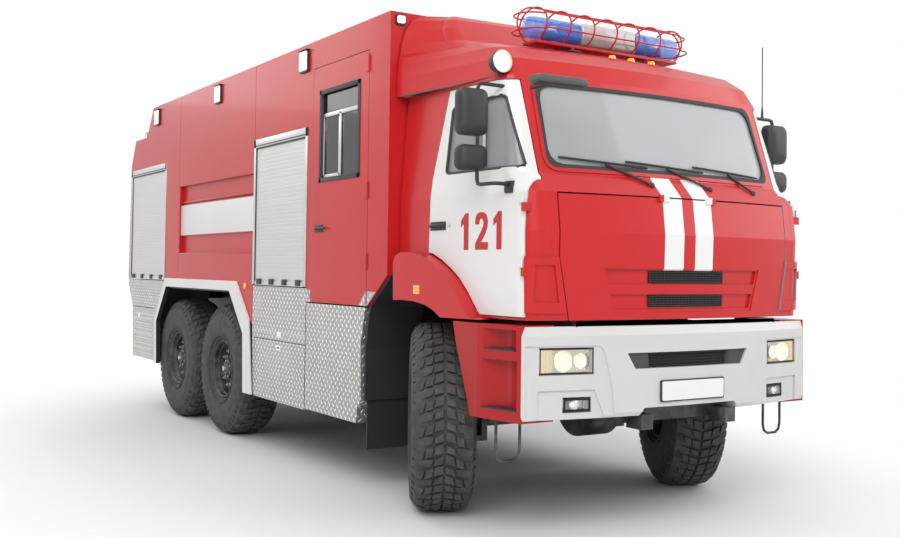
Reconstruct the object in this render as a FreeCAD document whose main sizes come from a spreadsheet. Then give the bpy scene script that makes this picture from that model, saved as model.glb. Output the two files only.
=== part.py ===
"""Water tanker fire truck, six-wheel cab-over, as separate named pieces.

Everything is drawn in millimetres about the ground point under the front axle,
nose towards -Y and the truck's left towards +X.  Each finished piece then moves
along Y by its own Placement, so that the origin lies under the truck's middle.
"""
import FreeCAD, Part
import math
import os
import re

import Sketcher

V = FreeCAD.Vector

doc = FreeCAD.newDocument("WaterTanker")
sheet = doc.addObject("Spreadsheet::Sheet", "Sizes")

SIZES = {
    # running gear
    "nose_reach": 1340,            # front axle to the foremost point, the kerb mirror
    "tail_reach": 6650,            # front axle to the back of the body
    "middle_axle_y": 3690,
    "rear_axle_y": 5010,
    "hub_height": 610,
    "tyre_radius": 610,
    "tyre_width": 408,
    "rim_radius": 268,
    "rim_width": 336,
    "kingpin_x": 850,
    "kingpin_to_wheel": 175,
    "wheel_inset": 250,            # rear wheels, from the side of the body to their middle
    "parked_steer": 29,            # degrees to the right
    "running_gap": 6,
    "fit": 0.3,
    "hub_bore": 62,
    "rail_inner_x": 352,
    "rail_width": 80,
    "rail_bottom": 900,
    "rail_height": 270,
    "rail_front": 1050,
    "rail_end": 6350,
    "plate": 10,
    # cab
    "cab_half_width": 1160,
    "cab_wall": 45,
    "cab_floor": 1290,
    "cab_rear": 375,
    "nose_front": 1178,
    "nose_crease_z": 1800,
    "nose_lean": 16,               # how far the nose draws back from its crease down to the floor
    "cowl_z": 2030,
    "cowl_front": 1150,
    "screen_base_z": 2145,
    "screen_base_front": 1045,
    "roof_seam_z": 2745,
    "screen_top_front": 850,
    "belt_half_width": 1150,
    "roof_half_width": 1108,
    "nose_crown": 85,
    "nose_corner": 130,
    "door_front": 1018,
    "door_rear": 0,
    "door_hinge_x": 1166,
    "door_hinge_y": 1022,
    "door_gap": 6,
    "fender_gap": 12,              # under the cab door, down to the fender
    "screen_corner": 85,
    "lid_foot_half": 880,
    "lid_half": 953,
    "lid_waist_z": 1655,
    "lid_gap": 9,
    "lid_hinge_y": 1156.3,
    "lid_hinge_z": 2034,
    "grille_depth": 20,
    "tunnel_half_width": 430,
    "tunnel_top": 1640,
    "roof_rear_half_width": 1200,
    "fairing_top": 3320,
    "tilt_pivot_y": 1050,
    "tilt_pivot_z": 900,
    "tilt_pin_radius": 20,
    # bumper and steps
    "bumper_front": 1206,
    "bumper_bottom": 727,
    "bumper_top": 1255,
    "bumper_half_width": 1190,
    "bumper_wall": 60,
    "bumper_back": 1060,
    "fender_half_width": 1250,
    "scoop_depth": 95,
    # superstructure
    "body_half_width": 1250,
    "body_front": 390,
    "body_bottom": 1418,
    "body_top": 3330,
    "front_seam": 2790,
    "rear_seam": 4840,
    "seam_gap": 6,
    "body_wall": 55,
    "crew_floor": 1307,
    "crew_back": 1660,
    "crew_door_front": 690,
    "crew_door_rear": 1600,
    "crew_door_top": 3110,
    "crew_window_front": 827,
    "crew_window_rear": 1468,
    "crew_window_bottom": 2235,
    "crew_window_top": 2916,
    "shutter_bottom": 1424,
    "shutter_top": 2664,
    "front_shutter_start": 1700,
    "front_shutter_end": 2778,
    "rear_shutter_start": 5280,
    "rear_shutter_end": 6580,
    "shutter_depth": 40,
    "panel_recess": 40,
    "recess_bottom": 1700,
    "recess_top": 2390,
    "band_bottom": 1880,
    "band_top": 2200,
    "top_end": 5790,
    "ledge_start": 6020,
    "ledge_z": 3020,
    "ledge_end": 6460,
    "skirt_bottom": 478,
    "skirt_depth": 300,
    "skirt_seam": 970,
    "arch_trim": 15,
    "hinge_radius": 6,
    "flap_gap_depth": 44,
    # towing gear
    "tow_jaw_x": 350,
    "tow_jaw_bottom": 640,
    "tow_jaw_height": 90,
    "tow_pin_radius": 20,
    "hitch_z": 1000,
    "hitch_spacing_x": 160,
    "hitch_spacing_z": 100,
    "hitch_hole_radius": 10.5,
    # mirrors and roof
    "mirror_reach": 1410,
    "mirror_y": 720,
    "mirror_width": 200,
    "mirror_tube_in": 135,         # from the mirrors' outer edge in to their tube
    "light_bar_half": 735,
    "light_bar_y": 346,
    "light_bar_z": 3170,
}

for number, (alias, size) in enumerate(SIZES.items(), 1):
    sheet.set(f"A{number}", alias)
    sheet.set(f"B{number}", str(size))
    sheet.setAlias(f"B{number}", alias)
doc.recompute()

WORD = re.compile(r"[A-Za-z_]\w*")
NODES = []
TO_MIDDLE = "-(tail_reach - nose_reach) / 2"


def linked(text):
    """The expression with each size's name pointing into the sheet."""
    return WORD.sub(lambda m: "Sizes." + m.group() if m.group() in SIZES else m.group(), text)


def value(text):
    """What an expression on the sheet comes to."""
    return float(sheet.evalExpression(linked(text)))


def bind(obj, **cells):
    for prop, text in cells.items():
        obj.setExpression(prop.replace("__", "."), linked(text))


def node(label, obj):
    """Name a finished piece and move it so that the origin is under the middle."""
    obj.Label = label
    drawn = [text for prop, text in obj.ExpressionEngine if prop.lstrip(".") == "Placement.Base.y"]
    own = f"({drawn[0]}) + " if drawn else ""
    obj.setExpression("Placement.Base.y", own + linked(TO_MIDDLE))
    NODES.append(obj)
    return obj


def block(name, x, y, z):
    box = doc.addObject("Part::Box", name)
    bind(box, Placement__Base__x=x[0], Placement__Base__y=y[0], Placement__Base__z=z[0],
         Length=f"({x[1]}) - ({x[0]})", Width=f"({y[1]}) - ({y[0]})", Height=f"({z[1]}) - ({z[0]})")
    return box


AXES = {"x": V(0, 1, 0), "y": V(-1, 0, 0), "z": V(0, 0, 1)}


def rod(name, along, start, radius, length):
    """A round bar from its start point towards +x, +y or +z."""
    bar = doc.addObject("Part::Cylinder", name)
    angle = 0 if along == "z" else 90
    bar.Placement = FreeCAD.Placement(V(0, 0, 0), FreeCAD.Rotation(AXES[along], angle))
    bind(bar, Placement__Base__x=start[0], Placement__Base__y=start[1],
         Placement__Base__z=start[2], Radius=radius, Height=length)
    return bar


PLANES = {"x": "YZ_Plane", "y": "XZ_Plane", "z": "XY_Plane"}


def sketch(body, name, plane, points, offset="0"):
    """A closed outline whose every corner is held by two named distances."""
    made = body.newObject("Sketcher::SketchObject", name)
    origin = [f for f in body.Origin.OriginFeatures if getattr(f, "Role", "") == plane][0]
    made.AttachmentSupport = [(origin, "")]
    made.MapMode = "FlatFace"
    bind(made, AttachmentOffset__Base__z=offset)
    corners = [V(value(u), value(v), 0) for u, v in points]
    count = len(corners)
    for i in range(count):
        made.addGeometry(Part.LineSegment(corners[i], corners[(i + 1) % count]), False)
    for i in range(count):
        made.addConstraint(Sketcher.Constraint("Coincident", i, 2, (i + 1) % count, 1))
    for i, (u, v) in enumerate(points):
        for kind, text, at in (("DistanceX", u, corners[i].x), ("DistanceY", v, corners[i].y)):
            held = made.addConstraint(Sketcher.Constraint(kind, -1, 1, i, 1, at))
            made.setExpression(f"Constraints[{held}]", linked(text))
    return made


def prism(name, along, points, span):
    """An outline pushed along x, y or z from the first of the span to the second."""
    body = doc.addObject("PartDesign::Body", name)
    offset = f"-({span[1]})" if along == "y" else span[0]
    outline = sketch(body, name + "_outline", PLANES[along], points, offset)
    pad = body.newObject("PartDesign::Pad", name + "_pad")
    pad.Profile = outline
    bind(pad, Length=f"({span[1]}) - ({span[0]})")
    outline.Visibility = False
    return body


def turned(name, points):
    """An outline in x and z turned about the X axis."""
    body = doc.addObject("PartDesign::Body", name)
    outline = sketch(body, name + "_outline", "XZ_Plane", points)
    turn = body.newObject("PartDesign::Revolution", name + "_turn")
    turn.Profile = outline
    axis = [f for f in body.Origin.OriginFeatures if getattr(f, "Role", "") == "X_Axis"][0]
    turn.ReferenceAxis = (axis, [""])
    turn.Angle = 360
    return body


def fuse(name, *shapes):
    joined = doc.addObject("Part::MultiFuse", name)
    joined.Shapes = list(shapes)
    joined.Refine = False
    return joined


def cut(name, base, *tools):
    made = doc.addObject("Part::Cut", name)
    made.Base = base
    made.Tool = tools[0] if len(tools) == 1 else fuse(name + "_tools", *tools)
    return made


def common(name, first, second):
    made = doc.addObject("Part::Common", name)
    made.Base = first
    made.Tool = second
    return made


def group(name, *shapes):
    made = doc.addObject("Part::Compound", name)
    made.Links = list(shapes)
    return made


def mirrored(name, shape):
    made = doc.addObject("Part::Mirroring", name)
    made.Source = shape
    made.Normal = V(1, 0, 0)
    made.Base = V(0, 0, 0)
    return made


def pair(name, *shapes):
    """The right-hand pieces and their reflections on the left."""
    return group(name, *shapes, *[mirrored(f"{name}_mirror_{i}", s) for i, s in enumerate(shapes)])


def shaped(name, shape):
    made = doc.addObject("Part::Feature", name)
    made.Shape = shape
    return made


# ---------------------------------------------------------------- cab form

def plan_wire(level, half, front, inset, rear, rear_half=None):
    """One level of the cab: straight sides, round corners and a crowned front."""
    ease = min(1, (rear + front - inset) / 500)
    crown = value("nose_crown") * ease
    corner = value("nose_corner") * ease
    side = half - inset
    back = (rear_half or half) - inset
    shoulder_x = side - corner
    shoulder_y = -front + crown + inset
    corner_y = shoulder_y + corner
    slack = corner * (1 - math.sqrt(0.5))
    return Part.Wire([
        Part.makeLine(V(back, rear, level), V(-back, rear, level)),
        Part.makeLine(V(-back, rear, level), V(-side, corner_y, level)),
        Part.Arc(V(-side, corner_y, level), V(-side + slack, shoulder_y + slack, level),
                 V(-shoulder_x, shoulder_y, level)).toShape(),
        Part.Arc(V(-shoulder_x, shoulder_y, level), V(0, -front + inset, level),
                 V(shoulder_x, shoulder_y, level)).toShape(),
        Part.Arc(V(shoulder_x, shoulder_y, level), V(side - slack, shoulder_y + slack, level),
                 V(side, corner_y, level)).toShape(),
        Part.makeLine(V(side, corner_y, level), V(back, rear, level)),
    ])


def cab_levels():
    """Height, half width and front reach of each crease of the lower cab."""
    width = value("cab_half_width")
    return [
        (value("cab_floor"), width, value("nose_front") - value("nose_lean")),
        (value("nose_crease_z"), width, value("nose_front")),
        (value("cowl_z"), width, value("cowl_front")),
        (value("screen_base_z"), value("belt_half_width"), value("screen_base_front")),
        (value("roof_seam_z"), value("roof_half_width"), value("screen_top_front")),
    ]


def roof_levels():
    """Height, front half width, front reach and rear half width of the roof."""
    seam = value("roof_seam_z")
    top = value("fairing_top")
    front = value("screen_top_front")
    half = value("roof_half_width")
    back = value("roof_rear_half_width")
    rise = top - seam
    return [
        (seam, half, front, back),
        (seam + 0.20 * rise, half - 30, front - 60, back),
        (seam + 0.36 * rise, half - 70, front - 190, back - 5),
        (seam + 0.45 * rise, half - 100, front - 350, back - 12),
        (seam + 0.50 * rise, half - 110, front - 640, back - 20),
        (seam + 0.62 * rise, half - 120, front - 770, back - 30),
        (seam + 0.80 * rise, half - 150, front - 900, back - 60),
        (seam + 0.93 * rise, half - 200, front - 990, back - 110),
        (top, half - 260, front - 1070, back - 180),
    ]


def cab_solid(name, inset):
    wires = [plan_wire(level, half, front, inset, value("cab_rear") - inset)
             for level, half, front in cab_levels()]
    return shaped(name, Part.makeLoft(wires, True, True))


def skin_layer(name, near, far):
    """The layer of the lower cab's skin between two depths under its outside."""
    far = value(far) if isinstance(far, str) else far
    return cut(f"{name}_layer", cab_solid(f"{name}_layer_out", near), cab_solid(f"{name}_layer_in", far))


def roof_solid(name, inset):
    levels = roof_levels()
    if inset:
        levels = [(level - (inset if level > levels[0][0] else 1), half, front, back)
                  for level, half, front, back in levels]
    wires = [plan_wire(level, half, front, inset, value("cab_rear") - inset, back)
             for level, half, front, back in levels]
    return shaped(name, Part.makeLoft(wires, True, True))


def door_outline(grow):
    """The cab door in y and z, grown outwards by an amount all round."""
    g = f"({grow})"
    foot = [(y, f"{z} + fender_gap - 3 * {g}") for y, z in reversed(FENDER_CROWN[1:])]
    return [
        (f"-door_front - {g}", f"cab_floor + 18 - {g}"),
        (f"-door_front - {g}", "cowl_z"),
        (f"-door_front + 38 - {g}", "screen_base_z"),
        (f"-screen_top_front + 78 - {g}", f"roof_seam_z - 34 + {g}"),
        (f"door_rear - 160 + {g}", f"roof_seam_z - 28 + {g}"),
        (f"door_rear - 20 + {g}", "screen_base_z"),
        (f"door_rear + {g}", f"cab_floor + 380 + fender_gap - 3 * {g}"),
        *foot,
        (f"door_rear - 597", f"cab_floor + 18 - {g}"),
    ]


WINDOW = [
    ("-door_front + 82", "screen_base_z + 30"),
    ("door_rear - 175", "screen_base_z + 36"),
    ("door_rear - 205", "roof_seam_z - 145"),
    ("-screen_top_front + 105", "roof_seam_z - 125"),
]


def screen_outline(shrink):
    """The windscreen in x and z with round corners, shrunk by an amount all round."""
    s = f"({shrink})"
    low, high = f"screen_base_z + 12 + {s}", f"roof_seam_z - 12 - {s}"
    bottom, top = f"belt_half_width - 185 - {s}", f"roof_half_width - 158 - {s}"
    turn = [(f"screen_corner * (1 - sin({a}deg))", f"screen_corner * (1 - cos({a}deg))")
            for a in (0, 30, 60, 90)]
    lower = [(f"{bottom} - {run}", f"{low} + {rise}") for run, rise in turn]
    upper = [(f"{top} - {run}", f"{high} - {rise}") for run, rise in reversed(turn)]
    half = lower + upper
    return half + [(f"-({x})", z) for x, z in reversed(half)]


def lid_outline(grow):
    """The front lid in x and z, drawn in at its foot, grown outwards by an amount."""
    g = f"({grow})"
    right = [(f"lid_foot_half + {g}", "cab_floor - 6"), (f"lid_half + {g}", "lid_waist_z"),
             (f"lid_half + {g}", f"cowl_z - lid_gap + {g}")]
    return right + [(f"-({x})", z) for x, z in reversed(right)]


FENDER_CROWN = [
    ("-583", "cab_floor + 8"), ("-540", "cab_floor + 58"), ("-470", "cab_floor + 133"),
    ("-366", "cab_floor + 222"), ("-270", "cab_floor + 281"), ("-160", "cab_floor + 334"),
    ("-51", "cab_floor + 373"),
]
FENDER_TOP = [("-700", "cab_floor - 8"), *FENDER_CROWN, ("80", "cab_floor + 392"), ("220", "cab_floor + 394"),
              ("285", "cab_floor + 370"), ("313", "cab_floor + 328")]


DOOR_HINGES = (1590, 1960)         # heights of the cab door's hinge lugs


def make_cab():
    outer = cab_solid("cab_outer", 0)
    wall = value("cab_wall")
    inner = cab_solid("cab_inner", wall)
    high = common("cab_upper_room", inner,
                  block("upper_room_box", ("-1300", "1300"), ("-1300", "1000"),
                        ("cowl_z - 40", "roof_seam_z + 1")))
    low = common("cab_lower_room", cab_solid("cab_inner_low", wall),
                 block("lower_room_box", ("-1300", "1300"), ("-nose_front + 270", "1000"),
                       ("cab_floor + 160", "cowl_z")))
    pocket = prism("lid_pocket", "y", lid_outline("lid_gap"), ("-nose_front - 50", "-nose_front + 205"))
    openings = [
        prism(f"door_opening_{side}", "x", door_outline("door_gap"), span)
        for side, span in (("right", ("-1300", "-1004")), ("left", ("1004", "1300")))
    ]
    screen = prism("screen_opening", "y", screen_outline("0"), ("-1300", "-600"))
    arches = []
    for side, sign in (("right", "-"), ("left", "")):
        low_x, high_x = ("-1300", "-1120") if side == "right" else ("1120", "1300")
        outline = FENDER_TOP + [("400", "cab_floor + 328"), ("400", "cab_floor - 60"),
                                ("-700", "cab_floor - 60")]
        arches.append(prism(f"arch_skin_{side}", "x", outline, (low_x, high_x)))
        low_x, high_x = ("-1120", "-600") if side == "right" else ("600", "1120")
        arches.append(block(f"arch_top_{side}", (low_x, high_x), ("-500", "400"),
                            ("cab_floor - 10", "cab_floor + 130")))
    tunnel_room = block("tunnel_room", ("-tunnel_half_width", "tunnel_half_width"),
                        ("-800", "cab_rear + 10"), ("cab_floor - 10", "tunnel_top"))
    tunnel_cover = block("tunnel_cover", ("-tunnel_half_width - 30", "tunnel_half_width + 30"),
                         ("-830", "cab_rear - cab_wall"), ("cab_floor + 150", "tunnel_top + 30"))
    hollow = cut("cab_hollow", outer, high, low, pocket, screen, *openings, *arches)
    low_y, low_z = "-tilt_pivot_y", "tilt_pivot_z"
    arms = []
    for i, x in enumerate((("-482", "-442"), ("442", "482"))):
        arm = prism(f"tilt_arm_{i}", "x", [
            (f"{low_y} - 19", f"{low_z} + 16"), (f"{low_y} + 19", f"{low_z} - 16"),
            (f"{low_y} + 465", "cab_floor + 1"), (f"{low_y} + 400", "cab_floor + 1")], x)
        eye = rod(f"tilt_eye_{i}", "x", (x[0], low_y, low_z), "45", "40")
        bore = rod(f"tilt_bore_{i}", "x", (f"{x[0]} - 1", low_y, low_z), "tilt_pin_radius + fit", "42")
        arms.append(cut(f"tilt_bracket_{i}", fuse(f"tilt_bracket_form_{i}", arm, eye), bore))
    lugs = []
    for side, sign in (("right", "-"), ("left", "")):
        span = ("-door_hinge_x - 4", "-door_hinge_x + 56") if sign else \
            ("door_hinge_x - 56", "door_hinge_x + 4")
        for i, z in enumerate(DOOR_HINGES):
            lugs.append(rod(f"door_lug_pin_{side}_{i}", "z",
                            (f"{sign}door_hinge_x", "-door_hinge_y", f"{z} - 50"), "hinge_radius", "50"))
            lugs.append(block(f"door_lug_{side}_{i}", span, ("-door_hinge_y - 22", "-door_hinge_y - 2"),
                              (f"{z} - 50", f"{z}")))
    corners = []
    for side, s in (("right", "-"), ("left", "")):
        shield = prism(f"corner_shield_{side}", "y", [
            (f"{s}1300", "1330"), (f"{s}904", "1330"), (f"{s}966", "lid_waist_z"),
            (f"{s}1300", "lid_waist_z")], ("-1300", "-door_front - 10"))
        scoop = prism(f"corner_scoop_{side}", "y", [
            (f"{s}1112", "1392"), (f"{s}958", "1392"), (f"{s}990", "1606"), (f"{s}1112", "1606")],
            ("-1300", "-900"))
        raised = common(f"corner_form_{side}", shield, skin_layer(f"corner_{side}", -10, 4))
        sunk = common(f"corner_hollow_{side}", scoop, skin_layer(f"corner_hollow_{side}", -14, 2))
        corners.append(cut(f"corner_{side}", raised, sunk))
    shell = cut("cab_shell_cut",
                fuse("cab_with_tunnel", hollow, tunnel_cover, *arms, *lugs, *corners), tunnel_room)
    node("cab_shell", shell)

    roof = cut("cab_roof_cut", roof_solid("roof_outer", 0), roof_solid("roof_inner", wall))
    node("cab_roof", roof)

    skin = cut("door_skin", cab_solid("door_outer", 0), cab_solid("door_inner", wall))
    pane = cut("pane_skin", cab_solid("pane_outer", 16), cab_solid("pane_inner", 22))
    for side, span in (("right", ("-1300", "-1012")), ("left", ("1012", "1300"))):
        panel = common(f"door_panel_{side}", skin, prism(f"door_cutter_{side}", "x", door_outline("0"), span))
        gap = prism(f"window_gap_{side}", "x", WINDOW, span)
        sign = "-" if side == "right" else ""
        leaf_x = ("-door_hinge_x - 4", "-door_hinge_x + 50") if sign else \
            ("door_hinge_x - 50", "door_hinge_x + 4")
        hinges = []
        for i, z in enumerate(DOOR_HINGES):
            hinges.append(rod(f"door_barrel_{side}_{i}", "z",
                              (f"{sign}door_hinge_x", "-door_hinge_y", f"{z} + fit"), "hinge_radius", "50"))
            hinges.append(block(f"door_leaf_{side}_{i}", leaf_x, ("-door_front + 1", "-door_front + 22"),
                                (f"{z} + fit", f"{z} + 50")))
        node(f"cab_door_{side}", fuse(f"door_hung_{side}", cut(f"door_cut_{side}", panel, gap), *hinges))
        node(f"cab_door_glass_{side}",
             common(f"door_pane_{side}", pane, prism(f"pane_cutter_{side}", "x", WINDOW, span)))

    frame = cut("seal_ring", prism("seal_outer", "y", screen_outline("1"), ("-1300", "-600")),
                prism("seal_inner", "y", screen_outline("46"), ("-1300", "-600")))
    seal = common("seal_cut", frame, cut("seal_skin", cab_solid("seal_out", -6), cab_solid("seal_in", 26)))
    node("windscreen_seal", seal)
    glass = common("screen_cut", prism("glass_cutter", "y", screen_outline("46"), ("-1300", "-600")),
                   cut("screen_skin", cab_solid("screen_out", 6), cab_solid("screen_in", 12)))
    node("windscreen_glass", glass)

    lid = common("lid_panel", prism("lid_cutter", "y", lid_outline("0"), ("-1300", "-900")),
                 cut("lid_skin", cab_solid("lid_out", 0), cab_solid("lid_in", 30)))
    recess = prism("grille_recess", "y", [
        ("-586", "1332"), ("586", "1332"), ("662", "1593"), ("-662", "1593")], ("-1300", "-900"))
    recess_form = common("grille_recess_form", recess, skin_layer("recess", -5, 6))
    slots = [common(f"grille_slot_form_{i}", prism(f"grille_slot_{i}", "y", [
        (f"-{low_half}", low_z), (low_half, low_z), (high_half, high_z), (f"-{high_half}", high_z)],
        ("-1300", "-900")), skin_layer(f"slot_{i}", 4, "grille_depth"))
        for i, (low_half, high_half, low_z, high_z) in enumerate([("616", "641", "1500", "1586"),
                                                                  ("572", "598", "1350", "1440")])]
    hinges = []
    for i, x in enumerate((-240, 160)):
        hinges.append(rod(f"lid_barrel_{i}", "x", (f"{x}", "-lid_hinge_y", "lid_hinge_z"), "8", "80"))
        hinges.append(block(f"lid_leaf_{i}", (f"{x}", f"{x} + 80"), ("-lid_hinge_y - 6", "-lid_hinge_y + 16"),
                            ("cowl_z - 30", "cowl_z - fit")))
    node("front_lid", cut("lid_cut", fuse("lid_with_hinges", lid, *hinges), recess_form, *slots))
    inserts = [common(f"grille_insert_{i}",
                      block(f"grille_box_{i}", ("-315", "315"), ("-1300", "-900"), span),
                      skin_layer(f"grille_{i}", 6, "grille_depth"))
               for i, span in enumerate([("1507", "1581"), ("1364", "1437")])]
    node("grille", group("grille_set", *inserts))


def make_fenders():
    outline = FENDER_TOP + [
        ("305", "cab_floor + 75"), ("198", "cab_floor + 80"), ("40", "cab_floor + 76"),
        ("-109", "cab_floor + 57"), ("-210", "cab_floor + 26"), ("-290", "cab_floor - 14")]
    flare = prism("fender_flare", "x", outline, ("-fender_half_width", "-1122"))
    node("cab_fenders", pair("fenders", flare))

    front, back, foot = "-bumper_back", "-640", "bumper_bottom - 14"
    skin = prism("step_skin", "x", [
        (front, foot), (back, foot),
        ("-470", "1150"), ("-440", "cab_floor - 28"), (front, "cab_floor - 28"),
    ], ("-fender_half_width", "-1196"))
    core = block("step_core", ("-1196", "-960"), (front, "-765"), (foot, "cab_floor - 28"))
    scoops = [rod(f"step_scoop_{i}", "z", (f"-fender_half_width - {radius} + scoop_depth", "-905", low),
                  radius, f"{high} - {low}")
              for i, (radius, low, high) in enumerate([("175", "1115", "1235"), ("200", "775", "1060")])]
    taper = prism("step_taper", "z", [
        ("-fender_half_width - 1", "-700"), ("-bumper_half_width - 3", "-bumper_back - 1"),
        ("-fender_half_width - 1", "-bumper_back - 1")], ("600", "cab_floor"))
    bracket = block("step_bracket", ("-961", "-rail_inner_x - rail_width"), ("-850", "-780"), ("920", "980"))
    panel = cut("step_panel", fuse("step_form", skin, core, bracket), *scoops, taper)
    node("step_panels", pair("steps", panel))
    loops = []
    for side, x_low in (("right", "-1210"), ("left", "1040")):
        low = [rod(f"wire_leg_{side}_{i}", "z", (f"{x_low} + {i * 170}", "-850", "470"), "9",
                   "bumper_bottom - 14 - 470")
               for i in range(2)]
        bar = rod(f"wire_bar_{side}", "x", (x_low, "-850", "470"), "9", "170")
        ends = fuse(f"wire_loop_{side}", *low, bar)
        loops.append(ends)
    node("wire_steps", group("wire_step_pair", *loops))


def bumper_wire(inset, level, deepen=0):
    """The bumper from above: crowned in front, wrapped round the ends, its back moved by an amount."""
    half, front = value("bumper_half_width") - inset, -value("bumper_front") + inset
    back = -value("bumper_back") + deepen
    shoulder_x, shoulder_y = half - 135, front + 110
    wrap_y = shoulder_y + 0.6 * (back - shoulder_y)
    return Part.Wire([
        Part.Arc(V(-shoulder_x, shoulder_y, level), V(0, front, level),
                 V(shoulder_x, shoulder_y, level)).toShape(),
        Part.Arc(V(shoulder_x, shoulder_y, level), V(half - 45, wrap_y, level),
                 V(half, back, level)).toShape(),
        Part.makeLine(V(half, back, level), V(-half, back, level)),
        Part.Arc(V(-half, back, level), V(-half + 45, wrap_y, level),
                 V(-shoulder_x, shoulder_y, level)).toShape(),
    ])


def bumper_solid(name, inset, back=0):
    """The bumper's full height at a depth under its face, moved back by an amount."""
    low, high = value("bumper_bottom"), value("bumper_top")
    shape = Part.Face(bumper_wire(inset, low, inset)).extrude(V(0, 0, high - low))
    shape.translate(V(0, back, 0))
    return shaped(name, shape)


def bumper_layer(name, near, far):
    return cut(f"{name}_layer", bumper_solid(f"{name}_out", near), bumper_solid(f"{name}_in", far))


LAMP_GAPS = (("head", ("-1083", "-731"), ("980", "1136")), ("head_left", ("731", "1083"), ("980", "1136")),
             ("fog", ("-928", "-742"), ("763", "852")), ("fog_left", ("742", "928"), ("763", "852")))
SLOT = [("-506", "1097"), ("506", "1097"), ("448", "1003"), ("-448", "1003")]


def make_bumper():
    low, high = value("bumper_bottom"), value("bumper_top")
    outer = Part.makeLoft([bumper_wire(12, low), bumper_wire(0, low + 24), bumper_wire(0, high - 52),
                           bumper_wire(24, high)], True, True)
    body = cut("bumper_body", shaped("bumper_outer", outer),
               bumper_solid("bumper_inner", value("bumper_wall"), 20))
    deep = ("-1300", "-1000")
    gaps = [prism("bumper_slot", "y", SLOT, deep),
            prism("bumper_foot", "y", [
                ("-430", "700"), ("430", "700"), ("380", "772"), ("-380", "772")], deep)]
    gaps += [block(f"{name}_gap", x, deep, z) for name, x, z in LAMP_GAPS]
    for side, s in (("right", "-"), ("left", "")):
        panel = prism(f"lamp_panel_{side}", "y", [
            (f"{s}1300", "1146"), (f"{s}700", "1146"), (f"{s}664", "1112"), (f"{s}612", "905"),
            (f"{s}590", "700"), (f"{s}1300", "700")], deep)
        gaps.append(common(f"lamp_panel_form_{side}", panel, bumper_layer(f"lamp_panel_{side}", -5, 6)))
        foot = prism(f"fog_panel_{side}", "y", [
            (f"{s}1090", "893"), (f"{s}728", "893"), (f"{s}646", "700"), (f"{s}1090", "700")], deep)
        gaps.append(common(f"fog_panel_form_{side}", foot, bumper_layer(f"fog_panel_{side}", 4, 15)))
    brackets = [block(f"bumper_bracket_{i}", x, ("-bumper_front + 60", "-rail_front"),
                      ("bumper_top - 80", "bumper_top - 37"))
                for i, x in enumerate([("-rail_inner_x - rail_width", "-rail_inner_x"),
                                       ("rail_inner_x", "rail_inner_x + rail_width")])]
    node("bumper", fuse("bumper_with_brackets", cut("bumper_cut", body, *gaps), *brackets))
    lamps = [common(f"{name}_lamp", bumper_layer(f"{name}_lamp", 18, 48),
                    block(f"{name}_lamp_box", x, ("-1300", "-bumper_back - 1"), z))
             for name, x, z in LAMP_GAPS]
    node("front_lamps", group("front_lamp_set", *lamps))
    mesh = common("slot_mesh", bumper_layer("slot_mesh", 30, 48), prism("slot_mesh_cutter", "y", SLOT, deep))
    wings = cut("slot_wing_cutter", prism("slot_wing_form", "y", SLOT, deep),
                block("slot_middle", ("-330", "330"), deep, ("1000", "1100")))
    node("bumper_grille", fuse("bumper_grille_set", mesh,
                               common("slot_wings", bumper_layer("slot_wings", 12, 48), wings)))


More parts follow.
